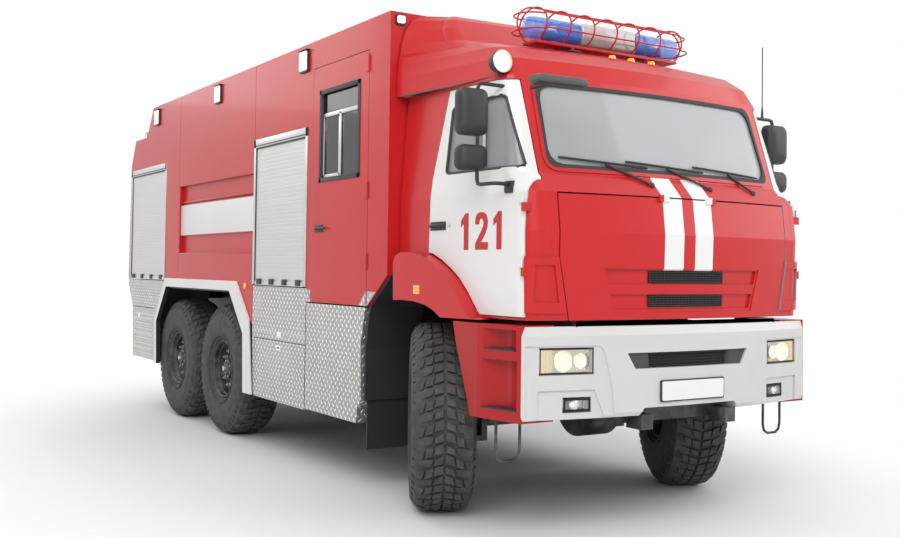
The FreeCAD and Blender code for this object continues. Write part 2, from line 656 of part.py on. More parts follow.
def make_chassis():
    rails = []
    for side, x in (("right", ("-rail_inner_x - rail_width", "-rail_inner_x")),
                    ("left", ("rail_inner_x", "rail_inner_x + rail_width"))):
        rail = block(f"rail_{side}", x, ("-rail_front", "rail_end"),
                     ("rail_bottom", "rail_bottom + rail_height"))
        web = ("-rail_inner_x - rail_width + plate", "-rail_inner_x + 1") if side == "right" else \
            ("rail_inner_x - 1", "rail_inner_x + rail_width - plate")
        hollow = block(f"rail_hollow_{side}", web, ("-rail_front - 1", "rail_end + 1"),
                       ("rail_bottom + plate", "rail_bottom + rail_height - plate"))
        rails.append(cut(f"rail_channel_{side}", rail, hollow))
    members = [block(f"cross_member_{i}", ("-rail_inner_x - 30", "rail_inner_x + 30"),
                     (f"{y}", f"{y} + 90"), ("rail_bottom + plate", "rail_bottom + 190"))
               for i, y in enumerate((-1040, 940, 1500, 2550, 4305, 6100))]
    jaws = [cut(f"tow_jaw_{side}",
                block(f"jaw_block_{side}", (f"{x} - 45", f"{x} + 45"),
                      ("-bumper_back - 125", "-rail_front + 1"),
                      ("tow_jaw_bottom", "tow_jaw_bottom + tow_jaw_height")),
                rod(f"jaw_bore_{side}", "z", (f"{x}", "-bumper_back - 80", "tow_jaw_bottom - 1"),
                    "tow_pin_radius", "tow_jaw_height + 2"))
            for side, x in (("right", "-tow_jaw_x"), ("left", "tow_jaw_x"))]
    pivots = [rod(f"tilt_pin_{i}", "x", (x, "-tilt_pivot_y", "tilt_pivot_z"), "tilt_pin_radius", "80")
              for i, x in enumerate(("-rail_inner_x - rail_width - 68", "rail_inner_x + rail_width - 12"))]
    tow = block("tow_beam", ("-rail_inner_x - rail_width", "rail_inner_x + rail_width"),
                ("-bumper_back - 10", "-rail_front + 1"), ("tow_jaw_bottom + 30", "980"))
    holes = [rod(f"hitch_hole_{i}_{j}", "y",
                 (f"{i} * hitch_spacing_x / 2", "rail_end - 20", f"hitch_z + {j} * hitch_spacing_z / 2"),
                 "hitch_hole_radius", "30")
             for i in (-1, 1) for j in (-1, 1)]
    board = block("hitch_board", ("-rail_inner_x - rail_width + 5", "rail_inner_x + rail_width - 5"),
                  ("rail_end - 14", "rail_end"), ("rail_bottom + plate", "rail_bottom + 190"))
    hitch = cut("hitch_plate", board, *holes)
    top = "rail_bottom + rail_height"
    beams = [block(f"subframe_{i}", x, ("body_front + 40", "rail_end"), (top, "crew_floor"))
             for i, x in enumerate([("-rail_inner_x - rail_width", "-rail_inner_x"),
                                    ("rail_inner_x", "rail_inner_x + rail_width")])]
    full = "body_half_width - skirt_depth"
    cross = [block(f"outrigger_{i}", (f"-({full})", full), (f"{y}", f"{y} + 80"),
                   (f"{top} + 40", "crew_floor"))
             for i, y in enumerate((1000, 1560, 2600, 5720, 6200))]
    risers = [block(f"riser_{i}", (f"-({reach})", reach), (f"{y}", f"{y} + 80"),
                    ("crew_floor", "body_bottom"))
              for i, (y, reach) in enumerate(((1900, full), (2600, full), (3300, "690"), (5080, "690"),
                                              (5720, full), (6200, full)))]
    long = [block(f"riser_beam_{i}", x, ("1900", "rail_end"), ("crew_floor - 1", "body_bottom"))
            for i, x in enumerate([("-rail_inner_x - rail_width", "-rail_inner_x"),
                                   ("rail_inner_x", "rail_inner_x + rail_width")])]
    node("chassis_frame", fuse("chassis_fused", *rails, *members, tow, *pivots, *jaws, hitch,
                               *beams, *cross, *risers, *long))
    engine = fuse("engine_fused",
                  block("engine_core", ("-rail_inner_x + 12", "rail_inner_x - 12"), ("-700", "380"),
                        ("hub_height + 230", "1560")),
                  block("engine_mounts", ("-rail_inner_x - 60", "rail_inner_x + 60"), ("-400", "-300"),
                        ("rail_bottom + rail_height", "rail_bottom + rail_height + 30")),
                  block("radiator", ("-340", "340"), ("-780", "-700"), ("880", "1500")))
    node("engine_block", engine)
    shaft = [rod("gearbox", "y", ("0", "392", "rail_bottom + 60"), "190", "520"),
             rod("shaft_front", "y", ("0", "900", "rail_bottom - 80"), "45", "810"),
             block("transfer_case", ("-230", "260"), ("1700", "2000"), ("620", "1120")),
             rod("shaft_rear", "y", ("0", "1999", "hub_height + 60"), "45",
                 "middle_axle_y - 300 - fit - 1999"),
             rod("shaft_nose", "y", ("200", "225 + fit", "hub_height + 60"), "45", "1480")]
    node("driveline", fuse("driveline_fused", *shaft))


def axle_tube(name, y, half, offset):
    return [rod(f"{name}_tube", "x", (f"-({half})", y, "hub_height"), "85", f"2 * ({half})"),
            rod(f"{name}_case", "x", (f"{offset} - 130", y, "hub_height"), "215", "260"),
            rod(f"{name}_neck", "y", (f"{offset}", f"{y} - 300", "hub_height + 60"), "75", "300")]


def make_axles():
    ears = []
    for side in ("-", ""):
        low_x = f"-kingpin_x + 68 + running_gap" if side else "kingpin_x - 68 - running_gap - 45"
        plate = block(f"fork_plate{side}", (low_x, f"{low_x} + 45"), ("-70", "70"),
                      ("hub_height - 165", "hub_height + 165"))
        ears.append(plate)
        for at, z in (("top", "hub_height + 130"), ("foot", "hub_height - 165")):
            ears.append(rod(f"fork_{at}{side}", "z", (f"{side}kingpin_x", "0", z), "62", "35"))
            span = (f"-kingpin_x", f"-kingpin_x + 80") if side else ("kingpin_x - 80", "kingpin_x")
            ears.append(block(f"fork_arm_{at}{side}", span, ("-62", "62"), (z, f"{z} + 35")))
    tube = [rod("front_tube", "x", ("-kingpin_x + 75", "0", "hub_height"), "80", "2 * (kingpin_x - 75)"),
            rod("front_case", "x", ("70", "0", "hub_height"), "205", "250"),
            rod("front_neck", "y", ("200", "0", "hub_height + 60"), "70", "225")]
    pads = [block(f"front_pad_{i}", (x, f"{x} + 90"), ("-65", "65"), ("hub_height", "hub_height + 82"))
            for i, x in enumerate(("-440", "350"))]
    node("front_axle", fuse("front_axle_fused", *ears, *tube, *pads))
    tandem = []
    for name, y in (("middle_axle", "middle_axle_y"), ("rear_axle", "rear_axle_y")):
        pieces = axle_tube(name, y, "body_half_width - wheel_inset - 75", "0")
        pieces.append(rod(f"{name}_spindle", "x", ("-body_half_width + wheel_inset - 105", y, "hub_height"),
                          "hub_bore - fit", "2 * (body_half_width - wheel_inset + 105)"))
        pieces += [block(f"{name}_pad_{i}", (x, f"{x} + 80"), (f"{y} - 70", f"{y} + 70"),
                         ("hub_height", "hub_height + 86")) for i, x in enumerate(("-520", "440"))]
        tandem.append(fuse(f"{name}_fused", *pieces))
    node("rear_axles", group("tandem_axles", *tandem))
    leaves = []
    for side, x in (("right", ("-440", "-350")), ("left", ("350", "440"))):
        leaf = prism(f"front_leaf_{side}", "x", [
            ("-820", "rail_bottom - 62"), ("-66", "hub_height + 82"), ("66", "hub_height + 82"),
            ("820", "rail_bottom - 62"), ("820", "rail_bottom"), ("640", "rail_bottom"),
            ("0", "hub_height + 165"), ("-640", "rail_bottom"), ("-820", "rail_bottom")], x)
        leaves.append(leaf)
    packs = []
    mid = "(middle_axle_y + rear_axle_y) / 2"
    for side, x in (("right", ("-520", "-440")), ("left", ("440", "520"))):
        packs.append(prism(f"rear_leaf_{side}", "x", [
            ("middle_axle_y - 90", "hub_height + 86"), ("middle_axle_y + 90", "hub_height + 86"),
            (f"{mid} - 80", "hub_height + 150"), (f"{mid} + 80", "hub_height + 150"),
            ("rear_axle_y - 90", "hub_height + 86"), ("rear_axle_y + 90", "hub_height + 86"),
            ("rear_axle_y + 90", "hub_height + 140"), (f"{mid} + 90", "hub_height + 290"),
            (f"{mid} - 90", "hub_height + 290"), ("middle_axle_y - 90", "hub_height + 140")], x))
    trunnion = rod("trunnion", "x", ("-560", mid, "hub_height + 210"), "70", "1120")
    brackets = [block(f"trunnion_bracket_{i}", x, (f"{mid} - 110", f"{mid} + 110"),
                      ("hub_height + 190", "rail_bottom"))
                for i, x in enumerate([("-rail_inner_x - rail_width", "-rail_inner_x"),
                                       ("rail_inner_x", "rail_inner_x + rail_width")])]
    node("leaf_springs", group("spring_set", *leaves, fuse("rear_spring_fused", *packs, trunnion, *brackets)))


def make_knuckles():
    for side, sign in (("right", -1), ("left", 1)):
        boss = rod(f"knuckle_boss_{side}", "z", ("0", "0", "hub_height - 130 + fit"), "66", "260 - 2 * fit")
        hub_x = "0" if sign > 0 else "-kingpin_to_wheel - 105"
        hub = rod(f"knuckle_hub_{side}", "x", (hub_x, "0", "hub_height"), "hub_bore - fit",
                  "kingpin_to_wheel + 105")
        drum_x = "70" if sign > 0 else "-120"
        drum = rod(f"knuckle_drum_{side}", "x", (drum_x, "0", "hub_height"), "150", "50")
        piece = group(f"knuckle_turned_{side}", fuse(f"knuckle_fused_{side}", boss, hub, drum))
        piece.Placement = FreeCAD.Placement(V(0, 0, 0), FreeCAD.Rotation(V(0, 0, 1), 45))
        bind(piece, Placement__Rotation__Angle="360 - parked_steer",
             Placement__Base__x="kingpin_x" if sign > 0 else "-kingpin_x")
        node(f"steering_knuckle_{side}", piece)


TYRE = [
    ("-rim_width / 2 + 4", "rim_radius + 2"), ("-tyre_width / 2 + 14", "rim_radius + 40"),
    ("-tyre_width / 2", "rim_radius + 150"), ("-tyre_width / 2 + 14", "tyre_radius - 62"),
    ("-tyre_width / 2 + 50", "tyre_radius - 10"), ("-tyre_width / 2 + 90", "tyre_radius"),
    ("tyre_width / 2 - 90", "tyre_radius"), ("tyre_width / 2 - 50", "tyre_radius - 10"),
    ("tyre_width / 2 - 14", "tyre_radius - 62"), ("tyre_width / 2", "rim_radius + 150"),
    ("tyre_width / 2 - 14", "rim_radius + 40"), ("rim_width / 2 - 4", "rim_radius + 2"),
]
# The rim seen in section: outboard is +x, with the disc and its hub standing outwards.
RIM = [
    ("-rim_width / 2", "rim_radius + 1"), ("-rim_width / 2", "rim_radius - 22"),
    ("40", "rim_radius - 34"), ("52", "150"), ("60", "hub_bore"),
    ("rim_width / 2 - 50", "hub_bore"), ("rim_width / 2 - 50", "0"), ("rim_width / 2 - 20", "0"),
    ("rim_width / 2 - 20", "88"), ("rim_width / 2 - 70", "110"), ("78", "150"),
    ("70", "rim_radius - 50"), ("rim_width / 2", "rim_radius - 20"),
    ("rim_width / 2", "rim_radius + 1"),
]


def make_wheels():
    for axle, y in (("front", None), ("middle", "middle_axle_y"), ("rear", "rear_axle_y")):
        for side, sign in (("right", -1), ("left", 1)):
            turn = 180 if sign < 0 else 360
            form = fuse(f"wheel_form_{axle}_{side}", turned(f"tyre_{axle}_{side}", TYRE),
                        turned(f"rim_{axle}_{side}", RIM))
            wheel = group(f"wheel_set_{axle}_{side}", form)
            wheel.Placement = FreeCAD.Placement(V(0, 0, 0), FreeCAD.Rotation(V(0, 0, 1), 45))
            sideways, forward = ("", "-") if sign > 0 else ("-", "")
            if y is None:
                out = "kingpin_x + kingpin_to_wheel * cos(parked_steer * 1deg)"
                bind(wheel, Placement__Rotation__Angle=f"{turn} - parked_steer",
                     Placement__Base__x=f"{sideways}({out})",
                     Placement__Base__y=f"{forward}kingpin_to_wheel * sin(parked_steer * 1deg)",
                     Placement__Base__z="hub_height")
            else:
                bind(wheel, Placement__Rotation__Angle=f"{turn} + 0 * hub_height",
                     Placement__Base__x=f"{sideways}(body_half_width - wheel_inset)", Placement__Base__y=y,
                     Placement__Base__z="hub_height")
            node(f"wheel_{axle}_{side}", wheel)


def make_crew_module():
    half = ("-body_half_width", "body_half_width")
    block_all = fuse("crew_block",
                     block("crew_upper", half, ("body_front", "front_seam - seam_gap"),
                           ("body_bottom", "body_top")),
                     block("crew_lower", half, ("body_front", "crew_back + 20"),
                           ("crew_floor", "body_bottom + 1")))
    room = block("crew_room", ("-body_half_width + body_wall", "body_half_width - body_wall"),
                 ("body_front + body_wall", "crew_back"), ("crew_floor + body_wall", "body_top - body_wall"))
    corner = prism("crew_front_corner", "x", [
        ("body_front - 1", "body_bottom + 112"), ("body_front", "body_bottom + 112"),
        ("crew_door_front - 13", "crew_floor"), ("crew_door_front - 13", "crew_floor - 10"),
        ("body_front - 1", "crew_floor - 10")], ("-body_half_width - 50", "body_half_width + 50"))
    sill = prism("crew_front_sill", "x", [
        ("body_front - 1", "body_bottom + 182"), ("body_front", "body_bottom + 182"),
        ("crew_door_front + 77", "crew_floor"), ("body_front - 1", "crew_floor")],
        ("-body_half_width - 50", "body_half_width + 50"))
    tools = [cut("crew_room_form", room, sill), corner]
    for side, span in (("right", ("-body_half_width - 50", "-body_half_width + 150")),
                       ("left", ("body_half_width - 150", "body_half_width + 50"))):
        tools.append(block(f"crew_door_gap_{side}", span,
                           ("crew_door_front - door_gap", "crew_door_rear + door_gap"),
                           ("crew_floor - 1", "crew_door_top + door_gap")))
        face = ("-body_half_width - 1", "-body_half_width + shutter_depth") if side == "right" else \
            ("body_half_width - shutter_depth", "body_half_width + 1")
        tools.append(block(f"front_shutter_gap_{side}", face, ("front_shutter_start", "front_shutter_end"),
                           ("body_bottom - 1", "shutter_top")))
    node("crew_module", cut("crew_cut", block_all, *tools))
    for side, low, high in (("right", "-body_half_width", "-body_half_width + body_wall - 5"),
                            ("left", "body_half_width - body_wall + 5", "body_half_width")):
        panel = prism(f"crew_panel_{side}", "x", [
            ("crew_door_front", "body_bottom"), ("crew_door_front + 100", "crew_floor + 2"),
            ("crew_door_rear", "crew_floor + 2"), ("crew_door_rear", "crew_door_top"),
            ("crew_door_front", "crew_door_top")], (low, high))
        window_y = ("crew_window_front", "crew_window_rear")
        window_z = ("crew_window_bottom", "crew_window_top")
        gap = block(f"crew_window_{side}", (f"{low} - 1", f"{high} + 1"), window_y, window_z)
        sign = "-" if side == "right" else ""
        reach = "body_half_width + hinge_radius + fit"
        barrels = [rod(f"crew_barrel_{side}_{i}", "z",
                       (f"{sign}({reach})", "crew_door_front - door_gap", f"{z}"), "hinge_radius", "120")
                   for i, z in enumerate((1560, 2060, 2960))]
        leaves = [block(f"crew_leaf_{side}_{i}", (f"{sign}({reach})", f"{sign}(body_half_width - 1)")
                        if sign else ("body_half_width - 1", reach),
                        ("crew_door_front - door_gap + 0.5", "crew_door_front + 50"), (f"{z}", f"{z} + 120"))
                  for i, z in enumerate((1560, 2060, 2960))]
        node(f"crew_door_{side}", fuse(f"crew_door_hung_{side}", cut(f"crew_door_cut_{side}", panel, gap),
                                       *barrels, *leaves))
        node(f"crew_door_glass_{side}",
             group(f"crew_pane_{side}", block(f"crew_pane_board_{side}", (f"{low} + 20", f"{low} + 26"),
                                              window_y, window_z)))


def make_tank_and_rear():
    half = ("-body_half_width", "body_half_width")
    tank = block("tank_block", half, ("front_seam", "rear_seam - seam_gap"), ("body_bottom", "body_top"))
    tools = []
    bands = []
    for side, face, band in (
            ("right", ("-body_half_width - 1", "-body_half_width + panel_recess"),
             ("-body_half_width + 15", "-body_half_width + panel_recess + 1")),
            ("left", ("body_half_width - panel_recess", "body_half_width + 1"),
             ("body_half_width - panel_recess - 1", "body_half_width - 15"))):
        tools.append(block(f"tank_recess_{side}", face, ("front_seam - 1", "rear_seam - 30"),
                           ("recess_bottom", "recess_top")))
        bands.append(block(f"tank_band_{side}", band, ("front_seam", "rear_seam - 30"),
                           ("band_bottom", "band_top")))
    gussets = [prism(f"tank_gusset_{side}", "x", [
        ("front_seam", "1080"), ("2842", "1118"), ("3133", "body_bottom"), ("3133", "body_bottom + 1"),
        ("front_seam", "body_bottom + 1")], span)
        for side, span in (("right", ("-body_half_width", "-body_half_width + 25")),
                           ("left", ("body_half_width - 25", "body_half_width")))]
    node("tank_module", fuse("tank_fused", cut("tank_cut", tank, *tools), *bands, *gussets))
    rear = prism("rear_block", "x", [
        ("rear_seam", "body_bottom"), ("tail_reach", "body_bottom"), ("tail_reach - 30", "2730"),
        ("ledge_end", "ledge_z"), ("ledge_start", "ledge_z"), ("top_end", "body_top"),
        ("rear_seam", "body_top")], half)
    gaps = [block(f"rear_shutter_gap_{side}", face, ("rear_shutter_start", "rear_shutter_end"),
                  ("body_bottom - 1", "shutter_top"))
            for side, face in (("right", ("-body_half_width - 1", "-body_half_width + shutter_depth")),
                               ("left", ("body_half_width - shutter_depth", "body_half_width + 1")))]
    tail_gap = block("tail_shutter_gap", ("-700", "700"), ("tail_reach - 60", "tail_reach + 1"),
                     ("body_bottom - 1", "shutter_top"))
    node("rear_module", cut("rear_cut", rear, *gaps, tail_gap))

    shutters = []
    for side, face in (("right", ("-body_half_width + 4", "-body_half_width + shutter_depth")),
                       ("left", ("body_half_width - shutter_depth", "body_half_width - 4"))):
        for at, start, end in (("front", "front_shutter_start", "front_shutter_end"),
                               ("rear", "rear_shutter_start", "rear_shutter_end")):
            shutters.append(block(f"{at}_shutter_{side}", face, (start, end),
                                  ("shutter_bottom", "shutter_top")))
    shutters.append(block("tail_shutter", ("-700", "700"), ("tail_reach - 60", "tail_reach - 36"),
                          ("shutter_bottom", "shutter_top")))
    node("roller_shutters", group("shutter_set", *shutters))


ARCH_OUTER = [("2758", "471"), ("2836", "1113"), ("3157", "1443"), ("5224", "1443"), ("5573", "989"),
              ("5541", "517")]
ARCH_FLANGE = [("2927", "471"), ("2951", "996"), ("3311", "1374"), ("5190", "1374"), ("5519", "982"),
               ("5490", "517")]
ARCH_INNER = [("5471", "517"), ("5500", "975"), ("5180", "1354"), ("3319", "1354"), ("2971", "988"),
              ("2947", "471")]


def make_lower_sides():
    depth = ("-body_half_width + 2", "-body_half_width + skirt_depth")
    front = prism("front_skirt", "x", [
        ("705", "crew_floor - 8"), ("722", "1213"), ("762", "1048"), ("750", "650"), ("800", "595"),
        ("818", "skirt_bottom"), ("2750", "skirt_bottom"), ("2786", "1060"), ("2786", "body_bottom - 6"),
        ("crew_back + 24", "body_bottom - 6"), ("crew_back + 24", "crew_floor - 8")], depth)
    flap_gap = block("flap_gap", ("-body_half_width - 1", "-body_half_width + flap_gap_depth"),
                     ("1690", "2730"), ("skirt_bottom - 1", "skirt_seam"))
    rear_edge = [("6420", "537"), ("6466", "1100"), ("6646", "1356"), ("6646", "body_bottom - 6")]
    rear = fuse("rear_skirt",
                prism("rear_skirt_panel", "x", [("5551", "537"), *rear_edge, ("5260", "body_bottom - 6"),
                                                ("5583", "1000")],
                      ("-body_half_width + 2", "-body_half_width + 30")),
                prism("rear_skirt_core", "x", [("5680", "537"), *rear_edge, ("5340", "body_bottom - 6"),
                                               ("5680", "1010")],
                      ("-body_half_width + 29", "-body_half_width + skirt_depth")))
    node("chequer_skirts", pair("skirts", cut("front_skirt_cut", front, flap_gap), rear))
    for side, low, high in (("right", "-body_half_width + 2", "-body_half_width + 32"),
                            ("left", "body_half_width - 32", "body_half_width - 2")):
        pin_x, pin_z = "body_half_width - flap_gap_depth", "skirt_bottom - hinge_radius - fit"
        sign = "-" if side == "right" else ""
        leaf_x = (low, f"-({pin_x})") if sign else (pin_x, high)
        board = block(f"flap_board_{side}", (low, high), ("1696", "2724"), (f"{pin_z} - 4", "skirt_seam - 6"))
        leaves = [block(f"flap_leaf_{side}_{i}", leaf_x, (f"{y}", f"{y} + 120"),
                        (f"{pin_z} - 4", f"{pin_z} + 2"))
                  for i, y in enumerate((1800, 2500))]
        pins = [rod(f"flap_pin_{side}_{i}", "y", (f"{sign}({pin_x})", f"{y}", pin_z), "hinge_radius", "120")
                for i, y in enumerate((1800, 2500))]
        node(f"skirt_flap_{side}", fuse(f"flap_{side}", board, *leaves, *pins))
    trim = fuse("trim_form",
                prism("trim_band", "x", ARCH_OUTER + ARCH_INNER,
                      ("-body_half_width - arch_trim", "-body_half_width - fit")),
                prism("trim_flange", "x", ARCH_FLANGE + ARCH_INNER,
                      ("-body_half_width - 1", "-body_half_width + 31")))
    node("arch_trims", pair("trims", trim))
    liner = prism("house_liner", "x", [
        ("2960", "471"), ("2985", "984"), ("3325", "1336"), ("5330", "1336"), ("5645", "1000"),
        ("5645", "517"), ("5660", "517"), ("5660", "1006"), ("5337", "1350"), ("3319", "1350"),
        ("2971", "988"), ("2946", "471")], ("-body_half_width + 31", "-700"))
    guard = prism("guard_band", "x", [
        ("body_front", "body_bottom + 112"), ("crew_door_front - 13", "crew_floor"), ("703", "1205"),
        ("738", "1000"), ("738", "skirt_bottom + 170"), ("718", "skirt_bottom + 170"), ("718", "1000"),
        ("684", "1195"), ("crew_door_front - 34", "crew_floor - 8"), ("body_front", "body_bottom + 82")],
        ("-body_half_width + 20", "-800"))
    flap = block("mud_flap", ("-body_half_width + 50", "-790"), ("737", "748"), ("300", "1000"))
    node("mudguards", pair("guards", fuse("guard_fused", guard, flap), liner))


def make_fittings():
    lamps = [block(f"side_lamp_{i}", ("-body_half_width - 30", "-body_half_width"),
                   (f"{y} - 78", f"{y} + 78"), ("body_top - 220", "body_top - 40"))
             for i, y in enumerate((1765, 3705, 5613))]
    lamps.append(block("front_side_lamp", ("-1215", "-1139"), ("body_front - 25", "body_front"),
                       ("body_top - 95", "body_top - 15")))
    node("scene_lamps", pair("scene_lamp_set", *lamps))

    bar_z, bar_y = "light_bar_z", "-light_bar_y"
    cage = [rod("cage_low_front", "x", ("-light_bar_half", f"{bar_y} - 150", f"{bar_z} - 100"), "10",
                "2 * light_bar_half"),
            rod("cage_low_back", "x", ("-light_bar_half", f"{bar_y} + 150", f"{bar_z} - 100"), "10",
                "2 * light_bar_half"),
            block("cage_tray", ("-light_bar_half", "light_bar_half"), (f"{bar_y} - 150", f"{bar_y} + 150"),
                  (f"{bar_z} - 104", f"{bar_z} - 96")),
            rod("cage_top", "x", ("-light_bar_half", bar_y, f"{bar_z} + 120"), "10", "2 * light_bar_half")]
    for i in range(9):
        x = f"-light_bar_half + {i} * light_bar_half / 4"
        if i in (0, 8):
            x = f"{x} + {10 if i == 0 else -10}"
        cage.append(prism(f"cage_hoop_{i}", "x", [
            (f"{bar_y} - 158", f"{bar_z} - 105"), (f"{bar_y} - 142", f"{bar_z} - 105"),
            (f"{bar_y} - 100", f"{bar_z} + 95"), (f"{bar_y}", f"{bar_z} + 110"),
            (f"{bar_y} + 100", f"{bar_z} + 95"), (f"{bar_y} + 142", f"{bar_z} - 105"),
            (f"{bar_y} + 158", f"{bar_z} - 105"), (f"{bar_y} + 112", f"{bar_z} + 106"),
            (f"{bar_y}", f"{bar_z} + 126"), (f"{bar_y} - 112", f"{bar_z} + 106")],
            (f"{x} - 8", f"{x} + 8")))
    for i, x in enumerate((-330, 330)):
        cage.append(rod(f"cage_leg_{i}", "z", (f"{x}", bar_y, "2990"), "16", f"{bar_z} - 3086"))
    lamp = [rod("beacon_right", "x", ("-667", bar_y, f"{bar_z} - 10"), "80", "431"),
            rod("beacon_left", "x", ("236", bar_y, f"{bar_z} - 10"), "80", "431")]
    node("beacons", group("beacon_pair", *lamp))
    cage.append(block("centre_board", ("-236", "236"), (f"{bar_y} - 80", f"{bar_y} + 80"),
                      (f"{bar_z} - 98", f"{bar_z} + 60")))
    node("light_bar_cage", cut("cage_seated", fuse("cage_fused", *cage), roof_solid("cage_seat", 0)))
    markers = [block(f"marker_block_{i}", (f"{x} - 45", f"{x} + 45"), ("-675", "-585"), ("2935", "2992"))
               for i, x in enumerate((-165, 0, 180))]
    spot = [rod("spot_body", "y", ("-1112", "-745", "2818"), "70", "110"),
            rod("spot_stem", "z", ("-1050", "-690", "roof_seam_z + 1"), "16", "60")]
    lamps = fuse("cab_lamp_forms", *markers, *spot)
    node("cab_lamps", cut("cab_lamps_seated", lamps, roof_solid("lamp_seat", 0)))

    for side, sign in (("right", "-"), ("left", "")):
        def across(near, far):
            return (f"-({far})", f"-({near})") if sign else (near, far)
        tube_x = "mirror_reach - mirror_tube_in"
        pieces = [block(f"mirror_head_{side}_{i}", across("mirror_reach - mirror_width", "mirror_reach"),
                        ("-mirror_y - 45", "-mirror_y + 45"), span)
                  for i, span in enumerate([("2360", "2640"), ("2154", "2306")])]
        pieces += [
            rod(f"mirror_tube_{side}", "z", (f"{sign}({tube_x})", "-mirror_y", "2072"), "14", "608"),
            block(f"mirror_arm_top_{side}", across("1080", tube_x), ("-mirror_y - 12", "-mirror_y + 12"),
                  ("2660", "2684")),
            block(f"mirror_arm_side_{side}", across(f"{tube_x} - 12", f"{tube_x} + 12"), ("-902", "-mirror_y"),
                  ("2060", "2084")),
            block(f"mirror_arm_low_{side}", across("1120", tube_x), ("-902", "-878"), ("2060", "2084")),
            block(f"mirror_foot_{side}", across("1120", "1172"), ("-925", "-845"), ("2020", "2092")),
        ]
        if not sign:
            pieces.append(rod("aerial_rod", "z", ("1170", "-mirror_y", "2670"), "5", "520"))
        node(f"door_mirrors_{side}", cut(f"mirror_seated_{side}", fuse(f"mirror_fused_{side}", *pieces),
                                         cab_solid(f"mirror_seat_{side}", 0)))
    kerb = [prism("kerb_mirror_form", "z", [
        ("-1290", "-nose_reach + 20"), ("-935", "-nose_reach"), ("-960", "-1220"), ("-1270", "-1200")],
        ("2590", "2650")), block("kerb_arm", ("-1004", "-980"), ("-1225", "-700"), ("2641", "2665"))]
    node("kerb_mirror", cut("kerb_seated", fuse("kerb_fused", *kerb), cab_solid("kerb_seat", 0)))
    wipers = []
    for i, (x, tip) in enumerate(((-235, -860), (265, -380), (700, 180))):
        outline = prism(f"wiper_outline_{i}", "y", [
            (f"{x} - 14", "2090"), (f"{x} + 14", "2090"), (f"{x} + 10", "2116"), (f"{tip} + 330", "2212"),
            (f"{tip} + 640", "2206"), (f"{tip} + 640", "2222"), (f"{tip}", "2252"), (f"{tip}", "2236"),
            (f"{tip} + 290", "2216"), (f"{x} - 14", "2106")], ("-1300", "-700"))
        wipers.append(common(f"wiper_{i}", outline, skin_layer(f"wiper_{i}", -20, -8)))
        foot = rod(f"wiper_foot_{i}", "y", (f"{x}", "-1160", "2098"), "12", "120")
        wipers.append(common(f"wiper_foot_seated_{i}", foot, skin_layer(f"wiper_foot_{i}", -14, 0)))
    node("wipers", fuse("wiper_set", *wipers))
    rails = [rod(f"rear_rail_{i}", "y", (f"{x}", "5980", "ledge_z + 105"), "16", "430")
             for i, x in enumerate((-1150, 1150))]
    posts = [rod(f"rail_post_{i}_{j}", "z", (f"{x}", f"{y}", "ledge_z"), "14", "104")
             for i, x in enumerate((-1150, 1150)) for j, y in enumerate((6040, 6390))]
    node("roof_rails", group("rail_set", *[fuse(f"rail_fused_{i}", rails[i], posts[2 * i], posts[2 * i + 1])
                                           for i in range(2)]))
    tail = [block(f"tail_lamp_{i}", (f"{x} - 60", f"{x} + 60"), ("6540", "6574"), ("560", "740"))
            for i, x in enumerate((-1130, 1130))]
    arms = [block(f"underrun_{name}_{i}", (x, f"{x} + 78"), y, z) for i, x in enumerate(("-431", "353"))
            for name, y, z in (("arm", ("rail_end - 80", "6476"), ("600", "680")),
                               ("leg", ("rail_end - 80", "rail_end - 1"), ("600", "rail_bottom")))]
    node("rear_underrun", fuse("underrun_fused", block("underrun_bar", ("-1190", "1190"), ("6475", "6545"),
                                                       ("560", "680")), *tail, *arms))
    seats = [fuse(f"cab_seat_{i}", block(f"cab_seat_base_{i}", (f"{x}", f"{x} + 480"), ("-330", "120"),
                                         ("cab_floor + 160", "1830")),
                  block(f"cab_seat_back_{i}", (f"{x} + 20", f"{x} + 460"), ("120", "240"), ("1700", "2500")))
             for i, x in enumerate((-1010, 530))]
    node("cab_seats", group("cab_seat_pair", *seats))
    dash = block("dash_block", ("-1030", "1030"), ("-905", "-640"), ("tunnel_top + 30", "2080"))
    wheel = doc.addObject("Part::Torus", "steering_ring")
    wheel.Placement = FreeCAD.Placement(V(0, 0, 0), FreeCAD.Rotation(V(1, 0, 0), 30))
    bind(wheel, Placement__Base__x="750", Placement__Base__y="-520", Placement__Base__z="2130",
         Radius1="225", Radius2="18")
    spokes = block("steering_spoke", ("535", "965"), ("-535", "-505"), ("2115", "2145"))
    column = prism("steering_column", "x", [
        ("-660", "1960"), ("-500", "2110"), ("-530", "2145"), ("-690", "1990")], ("720", "780"))
    node("dashboard", fuse("dash_fused", dash, wheel, spokes, column))
    bench_x = ("-body_half_width + 250", "body_half_width - 250")
    bench = fuse("crew_bench_form",
                 block("bench_base", bench_x, ("crew_back - 460", "crew_back - 1"),
                       ("crew_floor + body_wall", "1800")),
                 block("bench_back", bench_x, ("crew_back - 110", "crew_back - 1"), ("1800", "2450")))
    node("crew_seats", group("crew_seat_set", bench))


def finish():
    doc.recompute()
    faults = [o.Name for o in doc.Objects if any(s in ("Invalid", "Error") for s in o.State)]
    for piece in NODES:
        shape = piece.Shape
        if shape.isNull() or not shape.isValid() or not shape.Solids:
            faults.append(piece.Label + " shape")
    if faults:
        raise RuntimeError("failed objects: " + ", ".join(faults))
    os.makedirs("parts", exist_ok=True)
    for piece in NODES:
        piece.Shape.exportStep(f"parts/{piece.Label}.step")
    print(f"{len(NODES)} pieces, origin {value(TO_MIDDLE):.1f} mm behind the front axle")


make_cab()
make_fenders()
make_bumper()
make_chassis()
make_axles()
make_knuckles()
make_wheels()
make_crew_module()
make_tank_and_rear()
make_lower_sides()
make_fittings()
finish()
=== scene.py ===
"""Looks of the six-wheel water tanker fire truck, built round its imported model."""
import math

